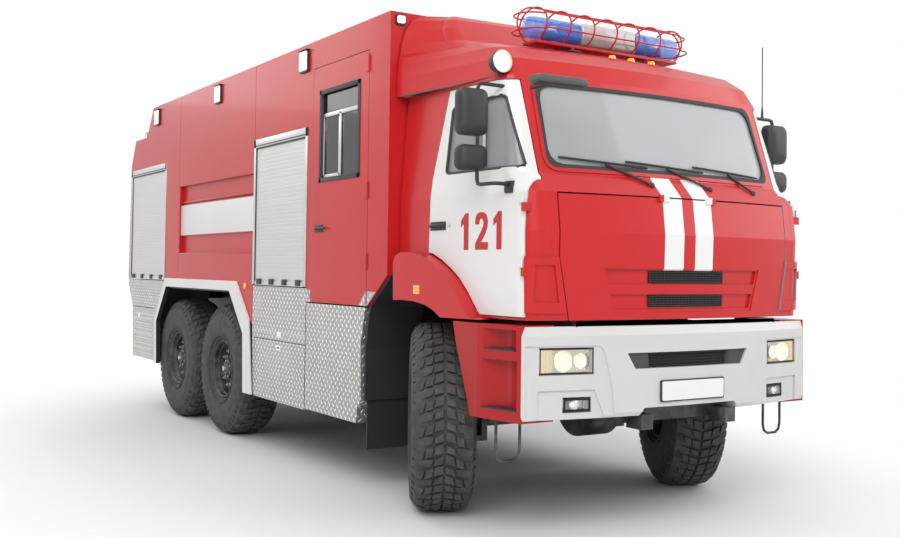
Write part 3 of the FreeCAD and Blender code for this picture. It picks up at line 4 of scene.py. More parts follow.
import bmesh
import bpy
from mathutils import Matrix, Vector


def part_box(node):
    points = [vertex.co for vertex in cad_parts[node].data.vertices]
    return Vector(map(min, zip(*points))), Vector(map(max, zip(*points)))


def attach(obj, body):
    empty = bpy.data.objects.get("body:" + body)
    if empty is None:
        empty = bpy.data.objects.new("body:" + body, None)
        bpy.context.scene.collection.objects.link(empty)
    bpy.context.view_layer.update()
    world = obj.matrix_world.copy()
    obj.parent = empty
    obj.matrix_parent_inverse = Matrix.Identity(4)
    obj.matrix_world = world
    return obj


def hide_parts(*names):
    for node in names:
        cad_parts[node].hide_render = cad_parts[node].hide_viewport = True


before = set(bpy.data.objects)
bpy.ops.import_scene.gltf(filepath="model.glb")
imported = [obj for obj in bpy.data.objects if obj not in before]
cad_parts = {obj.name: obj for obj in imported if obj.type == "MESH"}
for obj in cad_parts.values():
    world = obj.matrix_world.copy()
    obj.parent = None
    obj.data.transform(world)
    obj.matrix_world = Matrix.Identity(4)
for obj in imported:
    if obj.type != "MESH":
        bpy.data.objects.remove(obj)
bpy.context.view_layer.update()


def middle(node):
    low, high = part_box(node)
    return (Vector(low) + Vector(high)) / 2


FRONT_AXLE = middle("wheel_middle_right").y - 3.690
BODY_SIDE = 1.250              # half width of the body
CAB_SIDE = 1.160               # half width of the cab
CREASE = math.radians(34)      # edges sharper than this stay sharp
SIGNS = (-1, 1)
SIDES = (("right", -1), ("left", 1))


def at(x, y, z):
    """A point measured from the ground under the front axle."""
    return Vector((x, y + FRONT_AXLE, z))


def spread(first, last, count):
    """Evenly spaced numbers."""
    return [first + (last - first) * i / (count - 1) for i in range(count)]


def turn(degrees):
    """The cosine and sine of an angle."""
    return math.cos(math.radians(degrees)), math.sin(math.radians(degrees))


# ------------------------------------------------------------- finishes

def join(tree, slot, item):
    """Feeds an input from a shade or a socket, or sets it to a plain value."""
    if isinstance(item, Shade):
        item = item.socket
    if isinstance(item, bpy.types.NodeSocket):
        tree.links.new(item, slot)
    else:
        slot.default_value = item


def add_node(tree, kind, settings=None, values=None):
    made = tree.nodes.new(kind)
    for key, item in (settings or {}).items():
        setattr(made, key, item)
    for key, item in (values or {}).items():
        join(tree, made.inputs[key], item)
    return made


class Shade:
    """A number that varies over a surface, with the usual sums."""

    def __init__(self, finish, socket):
        self.finish, self.socket = finish, socket

    def math(self, kind, *others):
        values = dict(enumerate((self, *others)))
        return Shade(self.finish, self.finish.node("ShaderNodeMath", {"operation": kind}, values).outputs[0])

    def __add__(self, other): return self.math("ADD", other)
    def __sub__(self, other): return self.math("SUBTRACT", other)
    def __rsub__(self, other): return (self * -1) + other
    def __mul__(self, other): return self.math("MULTIPLY", other)
    def __truediv__(self, other): return self.math("DIVIDE", other)
    def __gt__(self, other): return self.math("GREATER_THAN", other)
    def __lt__(self, other): return self.math("LESS_THAN", other)
    def __abs__(self): return self.math("ABSOLUTE")
    def floor(self): return self.math("FLOOR")
    def fract(self): return self.math("FRACT")
    def root(self): return self.math("SQRT")
    def sine(self): return self.math("SINE")
    def high(self, other): return self.math("MAXIMUM", other)

    def step(self, start, end):
        """0 up to start, 1 from end on, smooth between."""
        node = self.finish.node("ShaderNodeMapRange", {"interpolation_type": "SMOOTHSTEP"},
                                {"Value": self, "From Min": start, "From Max": end})
        return Shade(self.finish, node.outputs["Result"])


class Finish:
    """A procedural material on one Principled shader."""

    def __init__(self, name, color, rough=0.5, metal=0.0, **fixed):
        self.material = bpy.data.materials.new(name)
        self.material.use_nodes = True
        self.tree = self.material.node_tree
        self.shader = self.tree.nodes["Principled BSDF"]
        self.color, self.rough = (*color, 1), rough
        self.feed("Base Color", self.color)
        self.feed("Roughness", rough)
        self.feed("Metallic", metal)
        for key, item in fixed.items():
            self.feed(key.replace("_", " "), item)

    def node(self, kind, settings=None, values=None):
        return add_node(self.tree, kind, settings, values)

    def feed(self, socket, item):
        join(self.tree, self.shader.inputs[socket], item)

    def split(self, output):
        source = self.node("ShaderNodeTexCoord").outputs[output]
        parts = self.node("ShaderNodeSeparateXYZ", values={0: source})
        return [Shade(self, out) for out in parts.outputs]

    def place(self):
        """x, y and z measured from the ground under the front axle."""
        x, y, z = self.split("Object")
        return x, y - FRONT_AXLE, z

    def noise(self, scale, detail=3, stretch=(1, 1, 1)):
        spot = self.node("ShaderNodeTexCoord").outputs["Object"]
        mapped = self.node("ShaderNodeMapping", values={"Vector": spot, "Scale": stretch})
        made = self.node("ShaderNodeTexNoise", values={"Vector": mapped.outputs[0], "Scale": scale,
                                                       "Detail": detail})
        return Shade(self, made.outputs["Fac"])

    def mix(self, factor, first, second):
        first, second = [(*item[:3], 1) if isinstance(item, tuple) else item for item in (first, second)]
        return self.node("ShaderNodeMix", {"data_type": "RGBA"}, {0: factor, 6: first, 7: second}).outputs[2]

    def over(self, mask, color):
        """Lays a colour over the base colour where a shade is 1."""
        base = self.shader.inputs["Base Color"].links[0].from_socket
        self.feed("Base Color", self.mix(mask, base, color))

    def bump(self, height, distance, strength=1.0):
        values = {"Height": height, "Distance": distance, "Strength": strength}
        self.feed("Normal", self.node("ShaderNodeBump", values=values).outputs[0])

    def tint(self, amount=0.12, scale=2.5, dust=0.0):
        """Slow changes of tone, and dust that thickens towards the ground."""
        dark = tuple(c * (1 - amount) for c in self.color[:3])
        tone = self.mix(self.noise(scale), self.color, dark)
        if dust:
            low = self.place()[2]
            film = (1 - low.step(0.3, 1.5)) * self.noise(7, 5).step(0.35, 0.75) * dust
            tone = self.mix(film, tone, (0.30, 0.27, 0.23))
            self.feed("Roughness", film * 0.5 + self.rough)
        self.feed("Base Color", tone)


RED = (0.57, 0.016, 0.018)
WHITE = (0.80, 0.80, 0.79)
TRIM = (0.34, 0.34, 0.35)
RUBBER = (0.045, 0.045, 0.047)
COAT = 0.22
STRIPE = (0.048, 0.205)        # from the middle to a white stripe's two edges


def paint(name, color, dust=0.06):
    made = Finish(name, color, 0.34, Coat_Weight=COAT, Coat_Roughness=0.08, Specular_IOR_Level=0.25)
    made.tint(0.10, 1.6, dust)
    made.bump(made.noise(150, 2), 0.0004, 0.3)
    return made


def lined(name, color, centre, inner_trim_and_shade=TRIM):
    """Paint outside and a dark colour on the faces that look in towards a centre: cabin trim inside the cabs,
    painted shade on the wheel arches' inner faces.
    """
    made = paint(name, color)
    toward = [a * (b - c) for a, b, c in zip(made.split("Normal"), made.place(), centre)]
    inside = (toward[0] + toward[1] + toward[2]) < 0
    made.over(inside, inner_trim_and_shade)
    made.feed("Coat Weight", (1 - inside) * COAT)
    return made


def chequer_plate():
    """Bright plate with lugs that lie crosswise in turn."""
    plate = Finish("chequer_plate", (0.62, 0.61, 0.58), 0.34, 0.75)
    x, y, z = plate.place()
    pitch = 0.066
    a, b = (x + y + z) / pitch, (x + y - z) / pitch
    odd = abs((a.floor() + b.floor()).math("MODULO", 2))
    a, b = a.fract() - 0.5, b.fract() - 0.5
    along = odd * a + (1 - odd) * b
    across = odd * b + (1 - odd) * a
    lug = 1 - (along * along * 4.6 + across * across * 26).root().step(0.60, 0.95)
    plate.bump(lug, 0.004, 1.0)
    worn = plate.mix(plate.noise(5, 4), (0.50, 0.49, 0.47), (0.36, 0.35, 0.34))
    plate.feed("Base Color", plate.mix(lug, worn, (0.95, 0.94, 0.92)))
    plate.feed("Roughness", 0.42 - lug * 0.16)
    return plate


def windscreen_surround():
    """Rubber next to the glass and the cab's red outside it."""
    seal = paint("windscreen_surround", RED)
    x, _, z = seal.place()
    corner = 0.085
    past_side = (abs(x) - (0.964 - corner) + (z - 2.158) * 0.026).high(0)
    past_edge = (abs(z - 2.445) - (0.287 - corner)).high(0)
    rubber = (past_side * past_side + past_edge * past_edge).root() < corner - 0.022
    seal.over(rubber, RUBBER)
    seal.feed("Roughness", rubber * 0.28 + 0.34)
    seal.feed("Coat Weight", (1 - rubber) * COAT)
    return seal


def make_finishes():
    f = {}
    f["red"] = paint("fire_red_paint", RED)
    # The step panels' red is written darker than the rest of the red paint: painted shade.
    f["step"] = paint("step_shaded_red_paint", (0.42, 0.009, 0.010), 0.0)
    f["number"] = paint("red_numbers", (0.52, 0.012, 0.018), 0)
    f["white"] = paint("white_paint", WHITE, 0.08)
    # The bumper's white is written darker than the other white paint: painted shade.
    f["bumper"] = paint("bumper_shaded_white_paint", (0.64, 0.64, 0.635), 0.08)
    cab_centre = (0, -0.35, 2.1)
    f["door"] = lined("cab_door_white_paint", WHITE, cab_centre)
    # The near-black on the arch trims' faces that look in towards the wheels is painted shade.
    f["arch"] = lined("arch_white_paint_shaded_inside", WHITE, (0, 4.35, 0.60), (0.03, 0.03, 0.03))
    f["crew"] = lined("crew_red_paint", RED, (0, 1.02, 2.3))
    f["lid"] = paint("front_lid_paint", RED)
    f["cab"] = lined("cab_front_paint", RED, cab_centre)
    for key, lowest, rearmost in (("lid", 1.585, 0), ("cab", 2.0, -0.9)):
        x, y, z = f[key].place()
        f[key].over((abs(x) > STRIPE[0]) * (abs(x) < STRIPE[1]) * (y < rearmost) * (z > lowest), WHITE)
    f["seal"] = windscreen_surround()
    f["chequer"] = chequer_plate()

    slats = f["slats"] = Finish("shutter_slats", (0.74, 0.74, 0.73), 0.42, 0.55)
    x, y, z = slats.place()
    groove = abs((z / 0.034).fract() - 0.5)
    slats.bump(1 - groove.step(0.36, 0.5), 0.002, 0.45)
    tone = slats.mix(slats.noise(3, 3, (1, 0.3, 6)), (0.66, 0.66, 0.65), (0.58, 0.58, 0.57))
    slats.feed("Base Color", slats.mix(groove.step(0.42, 0.5) * 0.35, tone, (0.30, 0.30, 0.30)))

    alloy = f["alloy"] = Finish("brushed_alloy", (0.66, 0.66, 0.65), 0.30, 0.9)
    alloy.tint(0.15, 6)
    alloy.bump(alloy.noise(300, 2, (1, 1, 0.05)), 0.0004, 0.4)
    for key, name, color, rough, tint, grain in (
            ("black", "black_plastic", (0.028, 0.028, 0.030), 0.52, (0.25, 4), (700, 2, 0.0005, 0.5)),
            ("grey_plastic", "grey_plastic", (0.085, 0.087, 0.088), 0.50, (0.2, 5), (700, 2, 0.0005, 0.5)),
            ("steel", "black_steel", (0.022, 0.022, 0.023), 0.46, (0.3, 5, 0.5), (120, 4, 0.0008, 0.4)),
            ("rubber", "seal_rubber", RUBBER, 0.62, (0.2, 9), None),
            ("trim", "grey_cabin_trim", (0.16, 0.16, 0.165), 0.7, (0.2, 12), (500, 2, 0.0006, 0.6))):
        f[key] = Finish(name, color, rough)
        f[key].tint(*tint)
        if grain:
            scale, detail, depth, strength = grain
            f[key].bump(f[key].noise(scale, detail), depth, strength)

    tyre = f["tyre"] = Finish("tyre_rubber", (0.050, 0.048, 0.045), 0.78)
    mud = tyre.noise(16, 7).step(0.38, 0.72)
    tyre.feed("Base Color", tyre.mix(mud * 0.6, (0.044, 0.043, 0.041), (0.115, 0.104, 0.090)))
    tyre.feed("Roughness", mud * 0.12 + 0.72)
    tyre.bump(tyre.noise(160, 4), 0.0015, 0.6)

    for key, name, color, rough, fixed in (
            ("glass", "windscreen_glass", (0.52, 0.53, 0.545), 0.04, {"Alpha": 0.62, "Specular IOR Level": 0.6}),
            ("door_glass", "door_window_glass", (0.42, 0.43, 0.44), 0.04,
             {"Alpha": 0.60, "Specular IOR Level": 0.6}),
            ("tint_glass", "tinted_glass", (0.02, 0.022, 0.024), 0.04, {"Alpha": 0.82, "Specular IOR Level": 0.8}),
            ("lens", "clear_lens", (0.85, 0.87, 0.88), 0.03, {"Alpha": 0.22, "Specular IOR Level": 0.9}),
            ("blue", "blue_lens", (0.05, 0.25, 0.80), 0.06,
             {"Alpha": 0.62, "Coat Weight": 1.0, "Emission Color": (0.05, 0.16, 0.8, 1), "Emission Strength": 0.12}),
            ("amber", "amber_lens", (0.90, 0.36, 0.02), 0.12,
             {"Coat Weight": 0.8, "Emission Color": (0.9, 0.3, 0.0, 1), "Emission Strength": 0.15}),
            ("red_lens", "red_lens", (0.55, 0.01, 0.01), 0.12, {"Coat Weight": 0.8}),
            ("frosted", "frosted_lens", (0.88, 0.89, 0.88), 0.25,
             {"Coat Weight": 0.6, "Emission Color": (1, 0.97, 0.9, 1), "Emission Strength": 0.35})):
        f[key] = Finish(name, color, rough, **fixed)
        f[key].feed("Roughness", f[key].noise(14, 3) * 0.05 + rough)
    f["chrome"] = Finish("lamp_reflector", (0.86, 0.86, 0.85), 0.09, 1.0)
    f["warm_chrome"] = Finish("lit_reflector", (0.92, 0.88, 0.76), 0.22, 0.6,
                              Emission_Color=(1.0, 0.88, 0.62, 1), Emission_Strength=0.16)
    for key in ("chrome", "warm_chrome"):
        f[key].bump(f[key].noise(60, 2), 0.0006, 0.35)
    f["glow"] = Finish("lit_bulb", (0.85, 0.76, 0.50), 0.3, Emission_Color=(1.0, 0.86, 0.50, 1),
                       Emission_Strength=0.75)
    f["mirror"] = Finish("mirror_glass", (0.72, 0.75, 0.77), 0.02, 1.0)
    f["mirror"].feed("Roughness", f["mirror"].noise(20, 3) * 0.04 + 0.01)
    f["navy"] = Finish("dark_blue_lens", (0.02, 0.03, 0.16), 0.10, Coat_Weight=1.0)
    f["navy"].tint(0.3, 8)
    bar = f["bar_middle"] = Finish("light_bar_middle", (0.30, 0.24, 0.22), 0.16, Alpha=0.88, Coat_Weight=1.0)
    bar.feed("Base Color", bar.mix(bar.place()[2].step(3.10, 3.20), (0.26, 0.19, 0.17), (0.66, 0.66, 0.68)))

    cloth = f["cloth"] = Finish("seat_cloth", (0.07, 0.072, 0.08), 0.9, Sheen_Weight=0.3)
    x, y, z = cloth.place()
    cloth.bump((x * 1800).sine() * ((y + z) * 1800).sine() * 0.5 + 0.5, 0.0006, 0.7)
    cloth.feed("Base Color", cloth.mix(cloth.noise(20, 4), (0.06, 0.062, 0.07), (0.10, 0.10, 0.11)))
    f["plate"] = Finish("blank_plate", (0.82, 0.82, 0.81), 0.35, Coat_Weight=0.3)
    f["plate"].tint(0.05, 8)
    return f


FINISH = make_finishes()

# A star stands for right and left.
NODE_FINISH = {
    "red": "cab_fenders tank_module rear_module light_bar_cage",
    "step": "step_panels",
    "cab": "cab_shell cab_roof",
    "crew": "crew_module crew_door_*",
    "door": "cab_door_*",
    "lid": "front_lid",
    "bumper": "bumper",
    "arch": "arch_trims",
    "chequer": "chequer_skirts skirt_flap_*",
    "slats": "roller_shutters",
    "black": "grille bumper_grille door_mirrors_* kerb_mirror mudguards dashboard",
    "steel": "chassis_frame engine_block driveline front_axle rear_axles leaf_springs steering_knuckle_* "
             "rear_underrun wipers wire_steps",
    "seal": "windscreen_seal",
    "glass": "windscreen_glass",
    "door_glass": "cab_door_glass_*",
    "tint_glass": "crew_door_glass_*",
    "frosted": "scene_lamps cab_lamps",
    "chrome": "front_lamps",
    "blue": "beacons",
    "alloy": "roof_rails",
    "tyre": "wheel_front_* wheel_middle_* wheel_rear_*",
    "cloth": "cab_seats crew_seats",
}
for key, names in NODE_FINISH.items():
    for pattern in names.split():
        for side, _ in SIDES:
            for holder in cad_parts[pattern.replace("*", side)].material_slots:
                holder.material = FINISH[key].material


# ------------------------------------------------------------- shapes

def outward(shape):
    bmesh.ops.recalc_face_normals(shape, faces=shape.faces[:])


def wall(shape, one, two, loop=True):
    """Faces between two rows of corners."""
    for i in range(len(one) if loop else len(one) - 1):
        j = (i + 1) % len(one)
        shape.faces.new([one[i], one[j], two[j], two[i]])


def loft(rings, closed=False):
    """A skin over rings of points, with an end on the first and the last unless it is closed."""
    shape = bmesh.new()
    rings = [[shape.verts.new(p) for p in ring] for ring in rings]
    for one, two in zip(rings, rings[1:] + rings[:1] if closed else rings[1:]):
        wall(shape, one, two)
    if not closed:
        shape.faces.new(rings[0][::-1])
        shape.faces.new(rings[-1])
    outward(shape)
    return shape


class Piece:
    """One visible piece: shapes added one by one, each with its own finish."""

    def __init__(self, name, body, slot, *stands_for):
        self.name, self.body, self.slot, self.stands_for = name, body, slot, stands_for
        self.mesh = bmesh.new()
        self.keys = []

    def take(self, shape, key):
        if key not in self.keys:
            self.keys.append(key)
        for face in shape.faces:
            face.material_index = self.keys.index(key)
        holder = bpy.data.meshes.new("holder")
        shape.to_mesh(holder)
        shape.free()
        self.mesh.from_mesh(holder)
        bpy.data.meshes.remove(holder)

    def slab(self, one, two, key, soft=0.004, steps=2):
        """A block between two corners with rounded edges."""
        low, high = Vector(map(min, one, two)), Vector(map(max, one, two))
        size = high - low
        shape = bmesh.new()
        bmesh.ops.create_cube(shape, size=1)
        shape.transform(Matrix.Translation((low + high) / 2) @ Matrix.Diagonal((*size, 1)))
        soft = min(soft, min(size) * 0.45)
        bmesh.ops.bevel(shape, geom=shape.edges[:], offset=soft, segments=steps, affect="EDGES", profile=0.6)
        self.take(shape, key)

    def box(self, x, y, z, key, soft=0.004, steps=2, side=1):
        """A block between spans measured from the ground under the front axle."""
        self.slab(*[at(side * x[i], y[i], z[i]) for i in (0, 1)], key, soft, steps)

    def turned(self, profile, key, centre=(0, 0, 0), axis=(1, 0, 0), steps=48):
        """A profile of (distance along, radius) turned about an axis."""
        shape = bmesh.new()
        rings = []
        for along, radius in profile:
            turns = [turn(360 * i / steps) for i in range(steps if radius > 1e-5 else 1)]
            rings.append([shape.verts.new((along, radius * c, radius * s)) for c, s in turns])
        for first, second in zip(rings, rings[1:]):
            for i in range(steps):
                j = i + 1
                corners = dict.fromkeys([first[i % len(first)], first[j % len(first)],
                                         second[j % len(second)], second[i % len(second)]])
                if len(corners) > 2:
                    shape.faces.new(list(corners))
        outward(shape)
        way = Vector((1, 0, 0)).rotation_difference(Vector(axis)).to_matrix().to_4x4()
        shape.transform(Matrix.Translation(centre) @ way)
        self.take(shape, key)

    def stud(self, radius, height, key, centre, axis=(1, 0, 0), steps=8, tip=0.001):
        """A short round head with a low point on it."""
        self.turned([(0, radius), (height, radius), (height + tip, 0.0)], key, centre, axis, steps)

    def tube(self, points, radius, key, closed=False, sides=10):
        """A round bar along a line of points."""
        points = [Vector(p) for p in points]
        last = len(points) - 1
        side = None
        rings = []
        for i, point in enumerate(points):
            before = points[i - 1] if i or closed else point
            after = points[(i + 1) % len(points)] if i < last or closed else point
            way = (after - before).normalized()
            side = way.orthogonal() if side is None else side
            side = (side - way * side.dot(way)).normalized()
            other = way.cross(side)
            turns = [turn(360 * k / sides) for k in range(sides)]
            rings.append([point + radius * (side * c + other * s) for c, s in turns])
        self.take(loft(rings, closed), key)

    def plate(self, outline, push, key, soft=0.0):
        """A flat outline of points pushed along a vector."""
        shape = bmesh.new()
        face = shape.faces.new([shape.verts.new(p) for p in outline])
        made = bmesh.ops.extrude_face_region(shape, geom=[face])
        moved = [item for item in made["geom"] if isinstance(item, bmesh.types.BMVert)]
        bmesh.ops.translate(shape, verts=moved, vec=Vector(push))
        outward(shape)
        if soft:
            bmesh.ops.bevel(shape, geom=shape.edges[:], offset=soft, segments=2, affect="EDGES", profile=0.6)
        self.take(shape, key)

    def pad(self, centre, sizes, push, key, soft=0.0, across=(1, 0, 0)):
        """A flat pad with round corners, upright and standing across."""
        outline = [centre + a * Vector(across) + Vector((0, 0, b)) for a, b in rounded(*sizes)]
        self.plate(outline, push, key, soft)

    def strip(self, rows, key, thick):
        """A skin over rows of points, given a thickness against its own normals."""
        shape = bmesh.new()
        grid = [[shape.verts.new(p) for p in row] for row in rows]
        for upper, lower in zip(grid, grid[1:]):
            wall(shape, upper, lower, loop=False)
        bmesh.ops.solidify(shape, geom=shape.faces[:], thickness=thick)
        outward(shape)
        self.take(shape, key)

    def done(self):
        for face in self.mesh.faces:
            face.smooth = True
        for edge in self.mesh.edges:
            if len(edge.link_faces) != 2 or edge.calc_face_angle(0) > CREASE:
                edge.smooth = False
        data = bpy.data.meshes.new(self.name)
        self.mesh.to_mesh(data)
        self.mesh.free()
        for key in self.keys:
            data.materials.append(FINISH[key].material)
        made = bpy.data.objects.new(self.name, data)
        bpy.context.scene.collection.objects.link(made)
        if self.stands_for:
            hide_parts(*self.stands_for)
        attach(made, self.body)
        return made


def rounded(wide, tall, radius):
    """Points round a rectangle with round corners, from half its width and half its height."""
    points = []
    for x, y, start in ((1, 1, 0), (-1, 1, 90), (-1, -1, 180), (1, -1, 270)):
        points += [(x * (wide - radius) + radius * c, y * (tall - radius) + radius * s)
                   for c, s in map(turn, spread(start, start + 90, 6))]
    return points


def mesh(piece, face, columns, sheet, wires, bars, inset):
    """A grille's mesh: a sheet, level wires and upright bars, each as (where, how far sunk, radius)."""
    heights, sunk = sheet
    piece.strip([[face(x, z, sunk) for x in columns] for z in heights], "black", 0.004)
    ends = heights[0] + inset, heights[-1] - inset
    levels, sunk, radius = wires
    for z in levels:
        piece.tube([face(x, z, sunk) for x in columns], radius, "black", sides=6)
    places, sunk, radius = bars
    for x in places:
        piece.tube([face(x, z, sunk) for z in ends], radius, "black", sides=6)


# ------------------------------------------------------------- wheels

# Tread blocks of one pitch on the right half, as (across 0..1, along the pitch) corners.
TREAD = (
    ((1.00, 0.02), (1.00, 0.40), (0.46, 0.12), (0.40, -0.16), (0.66, -0.20)),
    ((1.00, 0.50), (1.00, 0.92), (0.78, 0.84), (0.70, 0.44)),
    ((0.64, 0.40), (0.70, 0.80), (0.44, 0.68), (0.38, 0.28)),
    ((0.33, 0.22), (0.38, 0.62), (0.05, 0.50), (0.03, 0.10)),
    ((0.34, -0.16), (0.38, 0.12), (0.06, 0.00), (0.04, -0.34)),
)
PARKED_STEER = math.radians(29)


def tyre(piece, place):
    radius, half, rim = 0.609, 0.203, 0.270
    tread = radius - 0.022
    section = [(-0.155, rim), (-half + 0.020, rim + 0.022), (-half + 0.004, rim + 0.085), (-half, rim + 0.150),
               (-half + 0.006, tread - 0.075), (-half + 0.020, tread - 0.045), (-half + 0.032, tread - 0.008),
               (-half + 0.075, tread), (0, tread + 0.002)]
    section += [(-a, r) for a, r in reversed(section[:-1])]
    piece.turned(section, "tyre", steps=72)
    for ring, out in ((rim + 0.045, 0.004), (rim + 0.175, 0.005)):
        for side in SIGNS:
            foot, top = side * (half - 0.017), side * (half - 0.005 + out)
            piece.turned([(foot, ring - 0.010), (top, ring - 0.004), (top, ring + 0.004), (foot, ring + 0.010)],
                         "tyre", steps=72)
    pitches = 26
    pitch_angle = 2 * math.pi / pitches
    shape = bmesh.new()

    def corner(x, level, angle):
        return shape.verts.new((x, level * math.sin(angle), level * math.cos(angle)))
    for side, start in [(side, pitch + 0.25 - side * 0.25) for pitch in range(pitches) for side in SIGNS]:
        for corners in TREAD:
            mean = [sum(c[k] for c in corners) / len(corners) for k in (0, 1)]
            rows = []
            for level, draw in ((tread - 0.012, 0.0), (radius - 0.002, 0.0), (radius, 0.05)):
                row = []
                for across, along in corners:
                    across += (mean[0] - across) * draw
                    along += (mean[1] - along) * draw
                    drop = 0.038 * max(0, (across - 0.72) / 0.28) ** 1.6
                    row.append(corner(side * across * (half - 0.027), level - drop, pitch_angle * (start + along)))
                rows.append(row)
            for lower, upper in zip(rows, rows[1:]):
                wall(shape, lower, upper)
            shape.faces.new(rows[-1])
        # the lugs that run down over the shoulder
        for along, tall in ((0.20, 0.085), (0.70, 0.055)):
            angle, wide = pitch_angle * (start + along), pitch_angle * 0.17
            base, out = side * (half - 0.029), side * (half - 0.006)
            top, foot = radius - 0.039, radius - 0.055 - tall
            rings = [[corner(x, level, angle + s * wide * share) for s in SIGNS]
                     for x, level, share in ((base, top, 1), (out, top - 0.037, 0.85), (out, foot + 0.02, 0.55),
                                             (base + side * 0.004, foot, 0.4))]
            for one, two in zip(rings, rings[1:]):
                wall(shape, one, two, loop=False)
            for end in zip(*rings):
                shape.faces.new(end)
    outward(shape)
    piece.take(shape, "tyre")
    piece.mesh.transform(place)


def rim_set(piece, place):
    """Rim, disc, hub and nuts, outboard towards +X."""
    for steps, profile in (
            (64, [(-0.165, 0.272), (-0.168, 0.258), (-0.150, 0.246), (0.020, 0.236), (0.034, 0.222),
                  (0.044, 0.150), (0.060, 0.120), (0.060, 0.064)]),
            (64, [(0.168, 0.272), (0.172, 0.262), (0.162, 0.252), (0.128, 0.246), (0.118, 0.236), (0.070, 0.228),
                  (0.060, 0.215), (0.066, 0.170), (0.082, 0.140), (0.086, 0.095)]),
            (48, [(0.086, 0.100), (0.102, 0.094), (0.124, 0.086), (0.130, 0.070), (0.146, 0.060),
                  (0.148, 0.030), (0.148, 0.0)])):
        piece.turned(profile, "steel", steps=steps)
    piece.turned([(0.146, 0.026), (0.166, 0.022), (0.168, 0.0)], "alloy", steps=24)
    nut = [(0, 0.021), (0.008, 0.021), (0.010, 0.016), (0.026, 0.016), (0.028, 0.010), (0.040, 0.010), (0.042, 0.0)]
    for i in range(10):
        c, s = turn(36 * i)
        piece.turned(nut, "alloy", (0.074, 0.168 * c, 0.168 * s), steps=6)
    for i in range(8):
        c, s = turn(45 * (i + 0.5))
        piece.stud(0.009, 0.010, "alloy", (0.122, 0.074 * c, 0.074 * s), steps=6, tip=0.002)
    piece.stud(0.006, 0.05, "rubber", (0.10, 0, 0.225), (0.9, 0, -0.4), tip=0.002)
    piece.mesh.transform(place)


def make_wheels():
    for axle in ("front", "middle", "rear"):
        for side, sign in SIDES:
            name = f"wheel_{axle}_{side}"
            angle = (0 if sign > 0 else math.pi) - (PARKED_STEER if axle == "front" else 0)
            place = Matrix.Translation(middle(name)) @ Matrix.Rotation(angle, 4, "Z")
            for part, slot, build in (("tyre", "tyre_rubber", tyre), ("rim", "black_steel", rim_set)):
                piece = Piece(f"{part}_{axle}_{side}", f"{axle}_{side}_wheel", slot, name)
                build(piece, place)
                piece.done()


# ------------------------------------------------------------- bumper and lamps

def bumper_y(x):
    """The bumper's front face at a distance from the middle."""
    front, shoulder = 1.206, 1.055
    if abs(x) < shoulder:
        return -front + 0.110 * (x / shoulder) ** 2
    return -front + 0.110 + 0.024 * (abs(x) - shoulder) / 0.09


# x, z, sunk, rim, ribs, reflector and its cups as (x, radius)
HEAD_LAMP = ((0.736, 1.078), (0.985, 1.131), 0.006, 0.007, 14, "warm_chrome", ((0.925, 0.062), (0.816, 0.044)))
FOG_LAMP = ((0.747, 0.923), (0.768, 0.847), 0.015, 0.014, 6, "chrome", ((0.850, 0.031),))


def make_front_lamps():
    piece = Piece("front_lamp_units", "chassis", "lamp_lens", "front_lamps")
    for sign in SIGNS:
        for (low, high), (bottom, top), sunk, rim, ribs, reflector, cups in (HEAD_LAMP, FOG_LAMP):
            def face(x, z, depth):
                return at(sign * x, min(bumper_y(x) + sunk + depth, -1.066 + 0.1 * (depth - 0.042)), z)

            def band(xs, zs, depth, key, thick):
                piece.strip([[face(x, z, depth) for x in xs] for z in zs], key, thick)
            columns = spread(low, high, 11)
            inner = bottom + rim, top - rim
            band(columns, (bottom, top), 0.056, "black", 0.004)
            for zs in ((bottom, inner[0]), (inner[1], top)):
                band(columns, zs, 0.002, "black", 0.010)
            for xs in ((low, low + rim), (high - rim, high)):
                band(xs, (bottom, top), 0.002, "black", 0.010)
            band(columns, inner, 0.006, "lens", 0.004)
            band(columns, inner, 0.042, reflector, 0.003)
            mid = (bottom + top) / 2
            for x, radius in cups:
                centre = face(x, mid, 0.008)
                piece.turned([(0.0, radius), (0.004, radius * 1.06), (0.018, radius * 0.85),
                              (0.030, radius * 0.5), (0.034, 0.0)], reflector, centre, (0, 1, 0), 32)
                piece.turned([(0.006, 0.0), (0.010, radius * 0.42), (0.026, radius * 0.36), (0.030, 0.0)],
                             "glow" if x > 0.9 else "frosted", centre, (0, 1, 0), 24)
            if len(cups) > 1:
                for out in (0.046, 0.054):
                    arc = [face(0.812 - out * c, mid + out * 1.05 * s, 0.012)
                           for c, s in map(turn, range(-50, 51, 10))]
                    piece.tube(arc, 0.0030, "steel", sides=6)
            for i in range(ribs):
                x = low + rim + (high - low - 2 * rim) * (i + 0.5) / ribs
                piece.tube([face(x, inner[0] + 0.004, 0.012), face(x, inner[1] - 0.004, 0.012)], 0.0014,
                           "lens", sides=6)
    piece.done()


def make_slot_grille():
    piece = Piece("bumper_slot_grille", "chassis", "black_plastic", "bumper_grille")
    low, high, inner = 1.004, 1.096, 0.322

    def face(x, z, sunk):
        return at(x, bumper_y(x) + sunk, z)
    mesh(piece, face, spread(-0.328, 0.328, 21), ((low, high), 0.044),
         (spread(low + 0.010, low + 0.082, 5), 0.033, 0.0030), (spread(-0.3125, 0.3125, 26), 0.036, 0.0022), 0.002)
    for sign in SIGNS:
        rows = []
        for z in (low, (low + high) / 2, high):
            xs = spread(inner, 0.447 + 0.058 * (z - 1.003) / 0.094, 9)
            rows.append([face(sign * x, z, 0.014 if x > inner else 0.040) for x in xs])
        piece.strip(rows, "trim", 0.004)
    piece.done()


